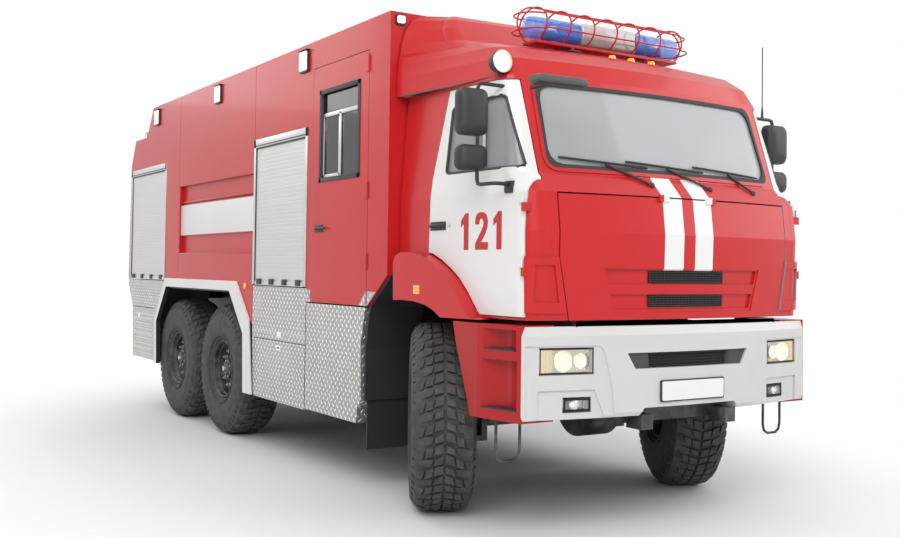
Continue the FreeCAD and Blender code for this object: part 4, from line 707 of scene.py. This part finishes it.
def make_grille_mesh():
    piece = Piece("grille_mesh", "front_lid_leaf", "black_plastic", "grille")

    def face(x, z, sunk):
        return at(x, screen_y(x, z) + sunk, z)
    for z0, z1 in ((1.507, 1.581), (1.364, 1.437)):
        mesh(piece, face, spread(-0.315, 0.315, 21), ((z0, (z0 + z1) / 2, z1), 0.0155),
             (spread(z0 + 0.008, z1 - 0.008, 5), 0.010, 0.0028), (spread(-0.310, 0.310, 22), 0.012, 0.0020), 0.003)
    piece.done()


def make_closing_strip():
    """The dark strip on the bumper's brackets that closes the gap under the cab."""
    piece = Piece("bumper_closing_strip", "chassis", "black_plastic")
    columns = spread(-0.84, 0.84, 13)
    piece.strip([[at(x, -1.112, z) for x in columns] for z in (1.170, 1.225, 1.280)], "rubber", 0.008)
    piece.done()


def make_plate():
    piece = Piece("front_plate", "chassis", "white_paint")
    for half, rim, depth, key in ((0.266, 0, 0.0, "black"), (0.258, 0.008, 0.004, "plate")):
        piece.pad(at(0, bumper_y(0) - 0.006 - depth, 0.865), (half, 0.065 - rim, 0.010), (0, 0.010, 0), key)
    piece.done()


def make_beacons():
    low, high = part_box("beacons")
    mid = middle("beacons")
    radius = (high[2] - low[2]) / 2
    end = high[0] - 0.004
    lens = Piece("beacon_lenses", "cab", "blue_lens", "beacons")
    guts = Piece("beacon_drives", "cab", "black_plastic", "beacons")
    for sign in SIGNS:
        lens.turned([(0.24, radius - 0.004), (end - 0.06, radius - 0.004), (end - 0.022, radius * 0.86),
                     (end - 0.005, radius * 0.55), (end, 0.0)], "blue", (0, mid.y, mid.z), (sign, 0, 0), 40)
        guts.turned([(0.245, radius - 0.012), (0.36, radius - 0.012), (0.365, 0.0)], "navy",
                    (0, mid.y, mid.z), (sign, 0, 0), 32)
        for profile, key, y, z, axis, steps in (
                ([(0, 0.05), (0.05, 0.05), (0.055, 0.02)], "steel", 0, -0.06, (0, 0, 1), 24),
                ([(0, 0.055), (0.01, 0.058), (0.03, 0.04), (0.045, 0.0)], "chrome", -0.02, 0, (0, 1, 0), 28),
                ([(-0.02, 0.0), (-0.015, 0.018), (0.02, 0.018), (0.025, 0.0)], "glow", -0.03, 0, (0, 0, 1), 20)):
            guts.turned(profile, key, (sign * 0.47, mid.y + y, mid.z + z), axis, steps)
    lens.done()
    guts.done()


def make_light_bar_guard():
    low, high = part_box("light_bar_cage")
    mid = middle("beacons")
    cage = Piece("light_bar_guard", "cab", "red_paint", "light_bar_cage")
    base, centre, wide, wire = mid.z - 0.088, mid.z + 0.020, 0.150, 0.0055
    tall, ends, loop = high[2] - 0.008 - centre, high[0] - 0.010, 0.13
    reach = ends - loop
    for x in spread(-reach, reach, 7):
        hoop = [(x, mid.y - wide * c, centre + tall * s) for c, s in map(turn, spread(-62, 242, 33))]
        cage.tube(hoop, wire, "red", sides=8)
    for c, s in map(turn, (-20, 200, 35, 145, 90)):
        cage.tube([(x, mid.y - wide * c, centre + tall * s) for x in (-reach, 0, reach)], wire, "red", sides=8)
    for sign in SIGNS:
        for z, squeeze in ((mid.z - 0.03, 1.0), (mid.z + 0.075, 0.8)):
            cage.tube([(sign * (reach + loop * c), mid.y + wide * squeeze * s, z)
                       for c, s in map(turn, range(-90, 91, 10))], wire, "red", sides=8)
        cage.tube([(sign * (reach + loop * c), mid.y, centre + tall * s)
                   for c, s in map(turn, range(-60, 91, 10))], wire, "red", sides=8)
    cage.slab((-ends + 0.10, mid.y - 0.075, base - 0.022), (ends - 0.10, mid.y + 0.075, base), "red", 0.006)
    cage.slab((-0.24, mid.y - 0.078, base), (0.24, mid.y + 0.078, mid.z + 0.068), "bar_middle", 0.03, 4)
    for x in (-0.33, 0.33):
        for y in (-0.06, 0.06):
            foot = at(x, -0.346 + y * 1.6, low[2] + 0.012)
            cage.tube([(x, mid.y + y, base - 0.01), foot], 0.009, "red", sides=8)
        cage.slab((x - 0.05, mid.y - 0.11, low[2]), (x + 0.05, mid.y + 0.11, low[2] + 0.012), "steel", 0.003)
    cage.done()


def make_roof_lamps():
    piece = Piece("roof_lamp_units", "cab", "lamp_lens", "cab_lamps")
    for x in (-0.165, 0.0, 0.180):
        base = at(x, -0.630, 2.950)
        piece.slab(base + Vector((-0.045, -0.035, -0.012)), base + Vector((0.045, 0.035, 0.006)), "red", 0.004)
        piece.turned([(0, 0.027), (0.018, 0.027), (0.032, 0.020), (0.036, 0.0)], "amber", base, (0, 0, 1), 24)
    for profile, key in (
            ([(0.053, 0.0), (0.048, 0.030), (0.030, 0.052), (0.0, 0.064), (-0.030, 0.069), (-0.044, 0.068),
              (-0.044, 0.062)], "steel"),
            ([(-0.040, 0.064), (-0.050, 0.056), (-0.054, 0.0)], "glow"),
            ([(-0.038, 0.066), (-0.050, 0.068), (-0.050, 0.060)], "chrome")):
        piece.turned(profile, key, at(-1.112, -0.690, 2.818), (0, 1, 0), 40)
    piece.tube([at(-1.105, -0.690, 2.752), at(-1.085, -0.690, 2.735), at(-1.052, -0.690, 2.722)], 0.012, "steel")
    piece.done()


def make_side_lamps():
    piece = Piece("side_lamp_units", "chassis", "lamp_lens", "scene_lamps")
    deep = abs(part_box("scene_lamps")[0][0]) - BODY_SIDE
    for sign in SIGNS:
        for y in (1.765, 3.705, 5.613):
            for sizes, start, length, key, soft in (((0.076, 0.088, 0.016), 0, 0.55, "steel", 0),
                                                    ((0.064, 0.076, 0.012), 0.5, 0.42, "frosted", 0.003)):
                piece.pad(at(sign * (BODY_SIDE + deep * start), y, 3.20), sizes, (sign * deep * length, 0, 0),
                          key, soft, across=(0, 1, 0))
            piece.box((BODY_SIDE, BODY_SIDE + deep), (y - 0.08, y + 0.08), (3.285, 3.290), "steel", 0.001,
                      side=sign)
        piece.pad(at(sign * 1.177, 0.390, 3.275), (0.036, 0.036, 0.012), (0, -0.014, 0), "steel")
        piece.pad(at(sign * 1.177, 0.377, 3.275), (0.030, 0.026, 0.012), (0, -0.010, 0), "frosted")
    piece.done()


# ------------------------------------------------------------- cab details

def screen_y(x, z):
    """The front of the lower cab at a height, on its crowned middle part."""
    levels = ((1.290, 1.162), (1.800, 1.178), (2.030, 1.150), (2.145, 1.045), (2.745, 0.850))
    for (z0, f0), (z1, f1) in zip(levels, levels[1:]):
        if z <= z1:
            front = f0 + (f1 - f0) * (z - z0) / (z1 - z0)
            break
    half = CAB_SIDE if z < 2.03 else 1.150 - 0.042 * (z - 2.145) / 0.6
    return -front + 0.085 * (x / (half - 0.130)) ** 2


def mirror_head(piece, x, y, z):
    """A mirror with a rounded back towards the front and its glass towards the rear."""
    mid_x, mid_z = sum(x) / 2, sum(z) / 2
    half_x, half_z = abs(x[1] - x[0]) / 2, (z[1] - z[0]) / 2
    outline = rounded(half_x, half_z, 0.044)
    piece.take(loft([[at(mid_x + a * grow, y[0] + depth, mid_z + b * grow) for a, b in outline]
                     for depth, grow in ((0.0, 0.55), (0.012, 0.84), (0.030, 0.97), (0.066, 1.0),
                                         (y[1] - y[0] - 0.002, 0.985))]), "black")
    piece.pad(at(mid_x, y[1] - 0.0025, mid_z), (half_x - 0.012, half_z - 0.012, 0.034), (0, 0.002, 0), "mirror")


def make_mirrors():
    y = -0.720
    arm = ((1.075, 0, 2.672), (1.240, 0, 2.672), (1.266, 0, 2.666), (1.275, 0, 2.645), (1.275, 0, 2.400),
           (1.275, 0, 2.100), (1.275, -0.010, 2.078), (1.275, -0.040, 2.072), (1.272, -0.150, 2.072),
           (1.258, -0.168, 2.072), (1.140, -0.170, 2.072))
    for side, sign in SIDES:
        piece = Piece(f"mirror_set_{side}", f"cab_door_{side}_leaf", "black_plastic", f"door_mirrors_{side}")
        piece.tube([at(sign * x, y + back, z) for x, back, z in arm], 0.0118, "steel")
        for z0, z1 in ((2.360, 2.640), (2.154, 2.306)):
            mirror_head(piece, (sign * 1.210, sign * 1.410), (y - 0.045, y + 0.045), (z0, z1))
            for lift in (-0.018, 0.018):
                piece.stud(0.006, 0.003, "steel", at(sign * 1.275, y - 0.042, (z0 + z1) / 2 + lift), (0, -1, 0))
        piece.box((1.122, 1.172), (-0.925, -0.845), (2.020, 2.092), "black", 0.010, side=sign)
        for z in (2.036, 2.076):
            piece.stud(0.006, 0.004, "alloy", at(sign * 1.167, -0.885, z), (sign, 0, 0))
        if side == "left":
            piece.tube([at(1.170, y, 2.680), at(1.170, y, 3.186)], 0.0040, "steel", sides=6)
            piece.turned([(0, 0.010), (0.05, 0.008), (0.09, 0.004)], "black", at(1.170, y, 2.676), (0, 0, 1), 14)
        piece.done()


def make_kerb_mirror():
    piece = Piece("kerb_mirror_head", "cab", "black_plastic", "kerb_mirror")

    def bulge(value):
        return math.copysign(abs(value) ** 0.6, value)
    rings = []
    for t in spread(0, 1, 13):
        front, back = -1.320 - 0.016 * t, -1.204 - 0.014 * t
        inset = min(t, 1 - t)
        edge = math.sin(math.pi * inset / 0.24) if inset < 0.12 else 1.0
        deep, tall = (back - front) / 2 * (0.72 + 0.28 * edge), 0.0265 * (0.55 + 0.45 * edge)
        rings.append([at(-1.286 + 0.348 * t, (front + back) / 2 + deep * bulge(c), 2.620 + tall * bulge(s))
                      for c, s in [turn(18 * k) for k in range(20)]])
    piece.take(loft(rings), "grey_plastic")
    foot = ((-1.265, -1.306), (-0.960, -1.320), (-0.972, -1.232), (-1.255, -1.222))
    piece.plate([at(x, y, 2.5945) for x, y in foot], (0, 0, -0.002), "black")
    piece.tube([at(-0.992, -1.240, 2.640), at(-0.992, -1.205, 2.652), at(-0.992, -0.860, 2.653)], 0.0115, "steel")
    piece.turned([(-0.03, 0.015), (0.03, 0.015)], "black", at(-0.992, -1.215, 2.648), (1, 0, 0), 16)
    piece.done()


def make_wipers():
    piece = Piece("wiper_set", "cab", "black_steel", "wipers")

    def skin(x, z, out):
        return at(x, screen_y(x, z) - out, z)
    for x, tip in ((-0.235, -0.860), (0.265, -0.380), (0.700, 0.180)):
        piece.turned([(0, 0.018), (0.010, 0.018), (0.016, 0.012), (0.018, 0.0)], "black", skin(x, 2.100, 0.002),
                     (0, -1, 0), 20)
        piece.tube([skin(x, 2.098, 0.012), skin(x + 0.35 * (tip + 0.32 - x), 2.150, 0.014),
                    skin(tip + 0.32, 2.216, 0.014)], 0.0080, "black", sides=8)
        blade = list(zip(spread(tip, tip + 0.64, 13), spread(2.244, 2.212, 13)))
        piece.tube([skin(px, pz, 0.0085) for px, pz in blade], 0.0070, "black", sides=6)
        piece.tube([skin(px, pz, 0.0160 - 0.004 * abs(i - 6) / 6) for i, (px, pz) in enumerate(blade)][2:-2],
                   0.0062, "black", sides=6)
    piece.done()


def make_number():
    """The truck's plain number on both cab doors."""
    one = [(0.34, 0), (0.66, 0), (0.66, 1), (0.44, 1), (0.14, 0.80), (0.14, 0.62), (0.34, 0.72)]
    two = [(0.03, 0.68), (0.03, 0.78), (0.10, 0.93), (0.28, 1.0), (0.55, 1.0), (0.76, 0.94), (0.86, 0.78),
           (0.84, 0.60), (0.70, 0.42), (0.44, 0.20), (0.88, 0.20), (0.88, 0), (0.04, 0), (0.04, 0.16),
           (0.40, 0.48), (0.55, 0.62), (0.58, 0.74), (0.50, 0.83), (0.40, 0.83), (0.32, 0.78), (0.30, 0.68)]
    for side, sign in SIDES:
        piece = Piece(f"door_number_{side}", f"cab_door_{side}_leaf", "red_paint")
        first = -0.868 if side == "left" else -0.357
        for i, digit in enumerate((one, two, one)):
            outline = [at(sign * 1.1602, first + sign * (0.175 * i + 0.163 * u), 1.695 + v * 0.225)
                       for u, v in digit]
            piece.plate(outline, (sign * 0.0012, 0, 0), "number")
        piece.done()


def corner_in(y, z):
    """How far the cab's round front corner draws in from its side."""
    radius = 0.130
    run = min(max(0.0, screen_y(0, z) + 0.085 + radius - y), radius)
    return radius - math.sqrt(radius ** 2 - run ** 2)


def make_door_trim():
    corners = ((-0.936, 2.175), (-0.175, 2.181), (-0.205, 2.600), (-0.745, 2.620))
    handle = ((1.163, -0.20, 1.850), (1.178, -0.18, 1.852), (1.180, -0.10, 1.854), (1.178, -0.04, 1.852),
              (1.163, -0.025, 1.850))
    pane = []
    for (y0, z0), (y1, z1) in zip(corners, corners[1:] + corners[:1]):
        pane += [(y0 + (y1 - y0) * f, z0 + (z1 - z0) * f) for f in spread(0.04, 0.96, 6)]
    for side, sign in SIDES:
        piece = Piece(f"cab_door_fittings_{side}", f"cab_door_{side}_leaf", "black_plastic")
        # handle in its recess
        piece.box((1.1585, 1.163), (-0.205, -0.020), (1.822, 1.878), "black", 0.002, side=sign)
        piece.tube([at(sign * x, y, z) for x, y, z in handle], 0.009, "black", sides=8)
        piece.turned([(0, 0.012), (0.006, 0.011), (0.007, 0.0)], "alloy", at(sign * 1.162, -0.245, 1.85),
                     (sign, 0, 0), 16)

        def surface(y, z):
            x = CAB_SIDE - 0.010 * max(0, min(1, (z - 2.03) / 0.115)) - 0.042 * max(0, (z - 2.145) / 0.6)
            return at(sign * (x - corner_in(y, z) - 0.004), y, z)
        piece.tube([surface(y, z) for y, z in pane], 0.009, "rubber", closed=True, sides=8)
        piece.tube([surface(-0.600, 2.185), surface(-0.560, 2.605)], 0.010, "alloy", sides=8)
        piece.done()


def make_steps():
    """Treads in the step panels, and the wire steps under the bumper."""
    depth, centre = 0.095, -0.905      # of the round scoop over each step

    def face_x(y):
        return BODY_SIDE - 0.057 * max(0.0, -0.700 - y) / 0.361
    for side, sign in SIDES:
        piece = Piece(f"step_treads_{side}", "chassis", "black_plastic")
        for radius, z in ((0.175, 1.1155), (0.200, 0.7755)):
            def near(run):
                return BODY_SIDE - depth + radius - math.sqrt(radius ** 2 - run ** 2)
            reach = 0.94 * math.sqrt(radius ** 2 - (radius - depth) ** 2)
            runs = [run for run in spread(-reach, reach, 15) if near(run) + 0.004 < face_x(centre + run)]
            outline = [(near(run) + 0.001, run) for run in runs]
            outline += [(face_x(centre + run) - 0.001, run) for run in reversed(runs)]
            piece.plate([at(sign * x, centre + run, z) for x, run in outline], (0, 0, 0.009), "black")
            for run in runs[2:-2]:
                y = centre + run
                piece.box((near(run) + 0.006, face_x(y) - 0.006), (y - 0.004, y + 0.004), (z + 0.008, z + 0.013),
                          "rubber", 0.001, side=sign)
        piece.done()
    loop = ((1.040, 0.711), (1.040, 0.53), (1.052, 0.49), (1.085, 0.470), (1.165, 0.470), (1.198, 0.49),
            (1.210, 0.53), (1.210, 0.711))
    piece = Piece("wire_step_loops", "chassis", "black_steel", "wire_steps")
    for sign in SIGNS:
        piece.tube([at(sign * x, -0.85, z) for x, z in loop], 0.0088, "steel")
    piece.done()


def make_seats():
    for i, x in enumerate((-1.010, 0.530)):
        piece = Piece(f"cab_seat_cushions_{i + 1}", "cab", "seat_cloth", "cab_seats")
        for x0, x1, y, z, key, soft, steps in (
                (0, 0.48, (-0.33, 0.12), (1.62, 1.825), "cloth", 0.055, 5),
                (0.02, 0.46, (0.115, 0.235), (1.76, 2.42), "cloth", 0.055, 5),
                (0.12, 0.36, (0.125, 0.220), (2.34, 2.495), "cloth", 0.040, 5),
                (0.05, 0.43, (-0.28, 0.10), (1.46, 1.63), "trim", 0.010, 2)):
            piece.box((x + x0, x + x1), y, z, key, soft, steps)
        made = piece.done()
    piece = Piece("crew_bench_cushions", "chassis", "seat_cloth", "crew_seats")
    low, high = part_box("crew_seats")
    pitch = (high[0] - low[0] - 0.02) / 4
    for i in range(4):
        x = low[0] + 0.01 + pitch * i
        end = x + pitch - 0.01
        piece.slab((x, low[1] + 0.01, 1.64), (end, high[1] - 0.012, 1.795), "cloth", 0.05, 4)
        piece.slab((x, high[1] - 0.108, 1.80), (end, high[1] - 0.006, 2.44), "cloth", 0.045, 4)
    piece.slab((low[0] + 0.02, low[1] + 0.03, low[2] + 0.002), (high[0] - 0.02, high[1] - 0.01, 1.65), "trim", 0.01)
    made = piece.done()


def make_dashboard():
    piece = Piece("dashboard_and_wheel", "cab", "black_plastic", "dashboard")
    piece.box((-1.028, 1.028), (-0.903, -0.645), (1.68, 2.072), "trim", 0.05, 4)
    piece.box((0.50, 1.00), (-0.70, -0.648), (1.90, 2.078), "black", 0.012)
    tilt = Matrix.Rotation(math.radians(30), 4, "X")
    hub = at(0.750, -0.520, 2.130)

    def spot(angle, radius):
        c, s = turn(angle)
        return hub + tilt @ Vector((radius * c, radius * s, 0))
    piece.tube([spot(7.5 * i, 0.225) for i in range(48)], 0.016, "black", closed=True, sides=12)
    for angle in (30, 150, 270):
        piece.tube([hub, spot(angle, 0.1075), spot(angle, 0.215)], 0.011, "black", sides=8)
    piece.turned([(-0.02, 0.05), (0.012, 0.045), (0.018, 0.0)], "black", hub, tilt @ Vector((0, 0, 1)), 28)
    piece.tube([hub, at(0.750, -0.640, 1.985)], 0.030, "black", sides=16)
    piece.done()


# ------------------------------------------------------------- body details

def side_bars(piece, sign, bars, face=BODY_SIDE, sink=0.003, soft=0.0015):
    """Flat bars on a side, each as (y, y, z, z, how far out, finish)."""
    for ya, yb, za, zb, out, key in bars:
        piece.box((face - sink, face + out), (ya, yb), (za, zb), key, soft, side=sign)


def patch(piece, sign, outline):
    """A flat chequer plate on the body's side."""
    piece.plate([at(sign * BODY_SIDE, y, z) for y, z in outline], (sign * 0.0015, 0, 0), "chequer")


def make_shutters():
    piece = Piece("shutter_frames", "chassis", "shutter_slats")
    z0, z1 = 1.424, 2.664
    for sign in SIGNS:
        for y0, y1 in ((1.700, 2.778), (5.280, 6.580)):
            bars = [(y0 - 0.010, y0 + 0.028, z0, z1 + 0.010, 0.006, "alloy"),
                    (y1 - 0.028, y1 + 0.010, z0, z1 + 0.010, 0.006, "alloy"),
                    (y0 - 0.010, y1 + 0.010, z1 - 0.060, z1 + 0.010, 0.006, "alloy"),
                    (y0 + 0.030, y1 - 0.030, z1 - 0.050, z1 - 0.040, 0.0075, "rubber"),
                    (y0 + 0.030, y1 - 0.030, z1 - 0.072, z1 - 0.062, 0.0075, "rubber"),
                    (y0 + 0.028, y0 + 0.038, z0, z1 - 0.060, 0.002, "rubber"),
                    (y1 - 0.038, y1 - 0.028, z0, z1 - 0.060, 0.002, "rubber")]
            bars += [(y - 0.038, y + 0.038, z0 + 0.002, z0 + 0.050, 0.012, "black")
                     for y in spread(y0 + 0.135, y1 - 0.135, 4)]
            bars += [(y0 + 0.04, y1 - 0.04, z0 - 0.004, z0 + 0.030, 0.003, "alloy")]
            side_bars(piece, sign, bars)
    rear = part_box("rear_module")[1][1]
    for sign in SIGNS:
        piece.slab((sign * 0.69, rear - 0.036, z0), (sign * 0.72, rear - 0.022, z1), "alloy", 0.0015)
    piece.done()


def make_skirt_trim():
    """Frames, latches and ribbed lockers on the chequer-plate sides."""
    piece = Piece("skirt_fittings", "chassis", "tread_plate")
    for sign in SIGNS:
        patch(piece, sign, ((0.675, 1.3095), (0.675, 1.412), (0.541, 1.412)))
        patch(piece, sign, ((1.608, 1.3095), (1.683, 1.3095), (1.683, 1.402), (1.608, 1.402)))
        for soft, bars in (
                (0.001, [(1.680, 2.745, 1.035, 1.045, 0.0015, "alloy"),
                         (1.683, 1.689, 0.485, 1.290, 0.0015, "rubber"),
                         (2.155, 2.245, 0.998, 1.042, 0.002, "chrome")]),
                (0.0008, [(5.70, 6.40, z, z + 0.012, 0.0018, "alloy") for z in spread(0.585, 1.025, 9)]),
                (0.001, [(5.66, 6.44, 1.098, 1.106, 0.0018, "rubber"),
                         (6.16, 6.23, 0.985, 1.035, 0.0019, "chrome")])):
            side_bars(piece, sign, bars, 1.248, 0.002, soft)
    piece.done()
    for side, sign in SIDES:
        latch = Piece(f"skirt_flap_latch_{side}", f"skirt_flap_{side}_leaf", "tread_plate")
        latch.box((1.246, 1.2498), (2.165, 2.255), (0.890, 0.932), "chrome", 0.0015, side=sign)
        latch.box((1.246, 1.2498), (2.19, 2.23), (0.903, 0.919), "black", 0.001, side=sign)
        latch.done()


def make_crew_door_trim():
    y0, y1, z0, z1 = 0.827, 1.468, 2.235, 2.916
    mid = (y0 + y1) / 2
    rim, lap = 0.022, 0.012
    seal = ((y0 - lap, y0 + rim, z0 - lap, z1 + lap), (y1 - rim, y1 + lap, z0 - lap, z1 + lap),
            (y0 - lap, y1 + lap, z0 - lap, z0 + rim), (y0 - lap, y1 + lap, z1 - rim, z1 + lap))
    sliders = ((mid - 0.014, mid + 0.014, z0, z1 - 0.18), (y0 + 0.02, y1 - 0.02, z1 - 0.20, z1 - 0.17),
               (mid + 0.01, mid + 0.026, z0 + 0.03, z1 - 0.22), (y1 - 0.05, y1 - 0.02, z0 + 0.02, z1 - 0.2),
               (mid, y1 - 0.02, z0 + 0.02, z0 + 0.045))
    handle = ((0.004, 1.525, 1.87), (0.022, 1.505, 1.872), (0.024, 1.42, 1.874), (0.022, 1.33, 1.872))
    for side, sign in SIDES:
        piece = Piece(f"crew_door_fittings_{side}", f"crew_door_{side}_leaf", "black_plastic")
        patch(piece, sign, ((0.692, 1.310), (0.798, 1.310), (0.700, 1.412), (0.692, 1.412)))
        side_bars(piece, sign, [(*bar, 0.006, "rubber") for bar in seal], soft=0.002)
        side_bars(piece, sign, [(*bar, 0.010, "alloy") for bar in sliders], 1.232, 0, 0.002)
        piece.box((BODY_SIDE - 0.002, BODY_SIDE + 0.004), (1.40, 1.54), (1.845, 1.900), "black", 0.003, side=sign)
        piece.tube([at(sign * (BODY_SIDE + out), y, z) for out, y, z in handle], 0.008, "black", sides=8)
        piece.done()


def make_body_trim():
    piece = Piece("body_trim", "chassis", "red_paint")
    for sign in SIGNS:
        piece.turned([(0, 0.026), (0.010, 0.026), (0.014, 0.018), (0.015, 0.0)], "amber",
                     at(sign * BODY_SIDE, 2.950, 1.405), (sign, 0, 0), 24)
        for y, z, sunk, out, key, soft in (
                ((2.80, 4.80), (2.215, 2.232), 0.036, -0.016, "red", 0.004),
                ((2.80, 4.80), (1.690, 1.706), 0.010, 0.003, "red", 0.004),
                ((2.797, 4.805), (1.888, 2.192), 0.0155, -0.0140, "white", 0.0003),
                ((2.797, 4.805), (2.192, 2.200), 0.016, -0.013, "red", 0.001)):
            piece.box((BODY_SIDE - sunk, BODY_SIDE + out), y, z, key, soft, side=sign)
    piece.done()
    piece = Piece("fender_marks", "cab", "amber_lens")
    for sign in SIGNS:
        piece.box((1.2485, 1.256), (-0.040, 0.032), (1.412, 1.470), "amber", 0.003, side=sign)
    piece.done()
    piece = Piece("tail_lamps", "chassis", "red_paint")
    for sign in SIGNS:
        for z, key in (((0.566, 0.620), "frosted"), ((0.624, 0.678), "amber"), ((0.682, 0.734), "red_lens")):
            piece.box((1.078, 1.182), (6.570, 6.584), z, key, 0.004, side=sign)
    piece.done()


for make in (make_wheels, make_front_lamps, make_slot_grille, make_closing_strip, make_plate, make_beacons,
             make_light_bar_guard, make_roof_lamps, make_side_lamps, make_mirrors, make_kerb_mirror, make_wipers,
             make_number, make_door_trim, make_steps, make_seats, make_dashboard, make_shutters, make_skirt_trim,
             make_crew_door_trim, make_body_trim, make_grille_mesh):
    make()


# ------------------------------------------------------------- studio

def seen_rays(tree):
    """1 for what the camera, a shiny surface or a glass sees, 0 for the light that falls on the truck."""
    path = add_node(tree, "ShaderNodeLightPath")
    total = path.outputs["Is Camera Ray"]
    for name in ("Is Glossy Ray", "Is Transmission Ray"):
        total = add_node(tree, "ShaderNodeMath", {"operation": "ADD", "use_clamp": True},
                         {0: total, 1: path.outputs[name]}).outputs[0]
    return total


def make_floor():
    bpy.ops.mesh.primitive_plane_add(size=400, location=(0, 0, 0))
    floor = bpy.context.object
    floor.name = "studio_floor"
    ground = Finish("studio_floor", (0.80, 0.80, 0.80), 0.8)
    ground.feed("Base Color", ground.mix(ground.noise(0.6, 3), (0.80, 0.80, 0.80), (0.78, 0.78, 0.78)))
    x, y, _ = ground.split("Object")
    far = (x * x * 1.6 + y * y * 0.6).root().step(2.4, 5.2)
    white = ground.node("ShaderNodeEmission", values={"Color": (1, 1, 1, 1), "Strength": 1.0})
    seen = Shade(ground, seen_rays(ground.tree))
    blend = ground.node("ShaderNodeMixShader", values={0: far * seen, 1: ground.shader.outputs[0],
                                                       2: white.outputs[0]})
    join(ground.tree, ground.tree.nodes["Material Output"].inputs[0], blend.outputs[0])
    floor.data.materials.append(ground.material)


def make_lights():
    world = bpy.data.worlds.new("studio_light")
    bpy.context.scene.world = world
    world.use_nodes = True
    tree = world.node_tree
    spot = add_node(tree, "ShaderNodeTexCoord")
    split = add_node(tree, "ShaderNodeSeparateXYZ", values={0: spot.outputs["Generated"]})
    ramp = add_node(tree, "ShaderNodeValToRGB", values={0: split.outputs["Z"]})
    for stop, level, tone in zip(ramp.color_ramp.elements, (0.0, 0.45), (0.16, 0.76)):
        stop.position = level
        stop.color = (tone, tone, tone, 1)
    sky = add_node(tree, "ShaderNodeMix", {"data_type": "RGBA"},
                   {0: seen_rays(tree), 6: ramp.outputs[0], 7: (1, 1, 1, 1)})
    join(tree, tree.nodes["Background"].inputs["Color"], sky.outputs[2])
    join(tree, tree.nodes["Background"].inputs["Strength"], 1.0)

    aim = Vector((0, 0, 1.5))
    for name, place, power in (("key_light", (-9, -12, 10), 1250), ("fill_light", (10, -8, 7), 500),
                               ("back_light", (-4, 12, 9), 420)):
        lamp = bpy.data.lights.new(name, "AREA")
        lamp.size = 9
        lamp.energy = power
        holder = bpy.data.objects.new(name, lamp)
        holder.location = place
        holder.rotation_euler = (aim - Vector(place)).to_track_quat("-Z", "Y").to_euler()
        bpy.context.scene.collection.objects.link(holder)


def make_camera():
    view = bpy.data.cameras.new("camera")
    holder = bpy.data.objects.new("camera", view)
    bpy.context.scene.collection.objects.link(holder)
    view.sensor_width = 36
    view.lens = 41.79
    view.shift_y = -0.0317
    yaw, pitch, roll = math.radians(32.50), math.radians(1.58), math.radians(0.73)
    holder.matrix_world = (Matrix.Translation(at(-4.688, -5.792, 1.578)) @ Matrix.Rotation(-yaw, 4, "Z")
                           @ Matrix.Rotation(math.pi / 2 + pitch, 4, "X") @ Matrix.Rotation(roll, 4, "Z"))
    bpy.context.scene.camera = holder


make_floor()
make_lights()
make_camera()
bpy.context.scene.view_settings.view_transform = "Standard"
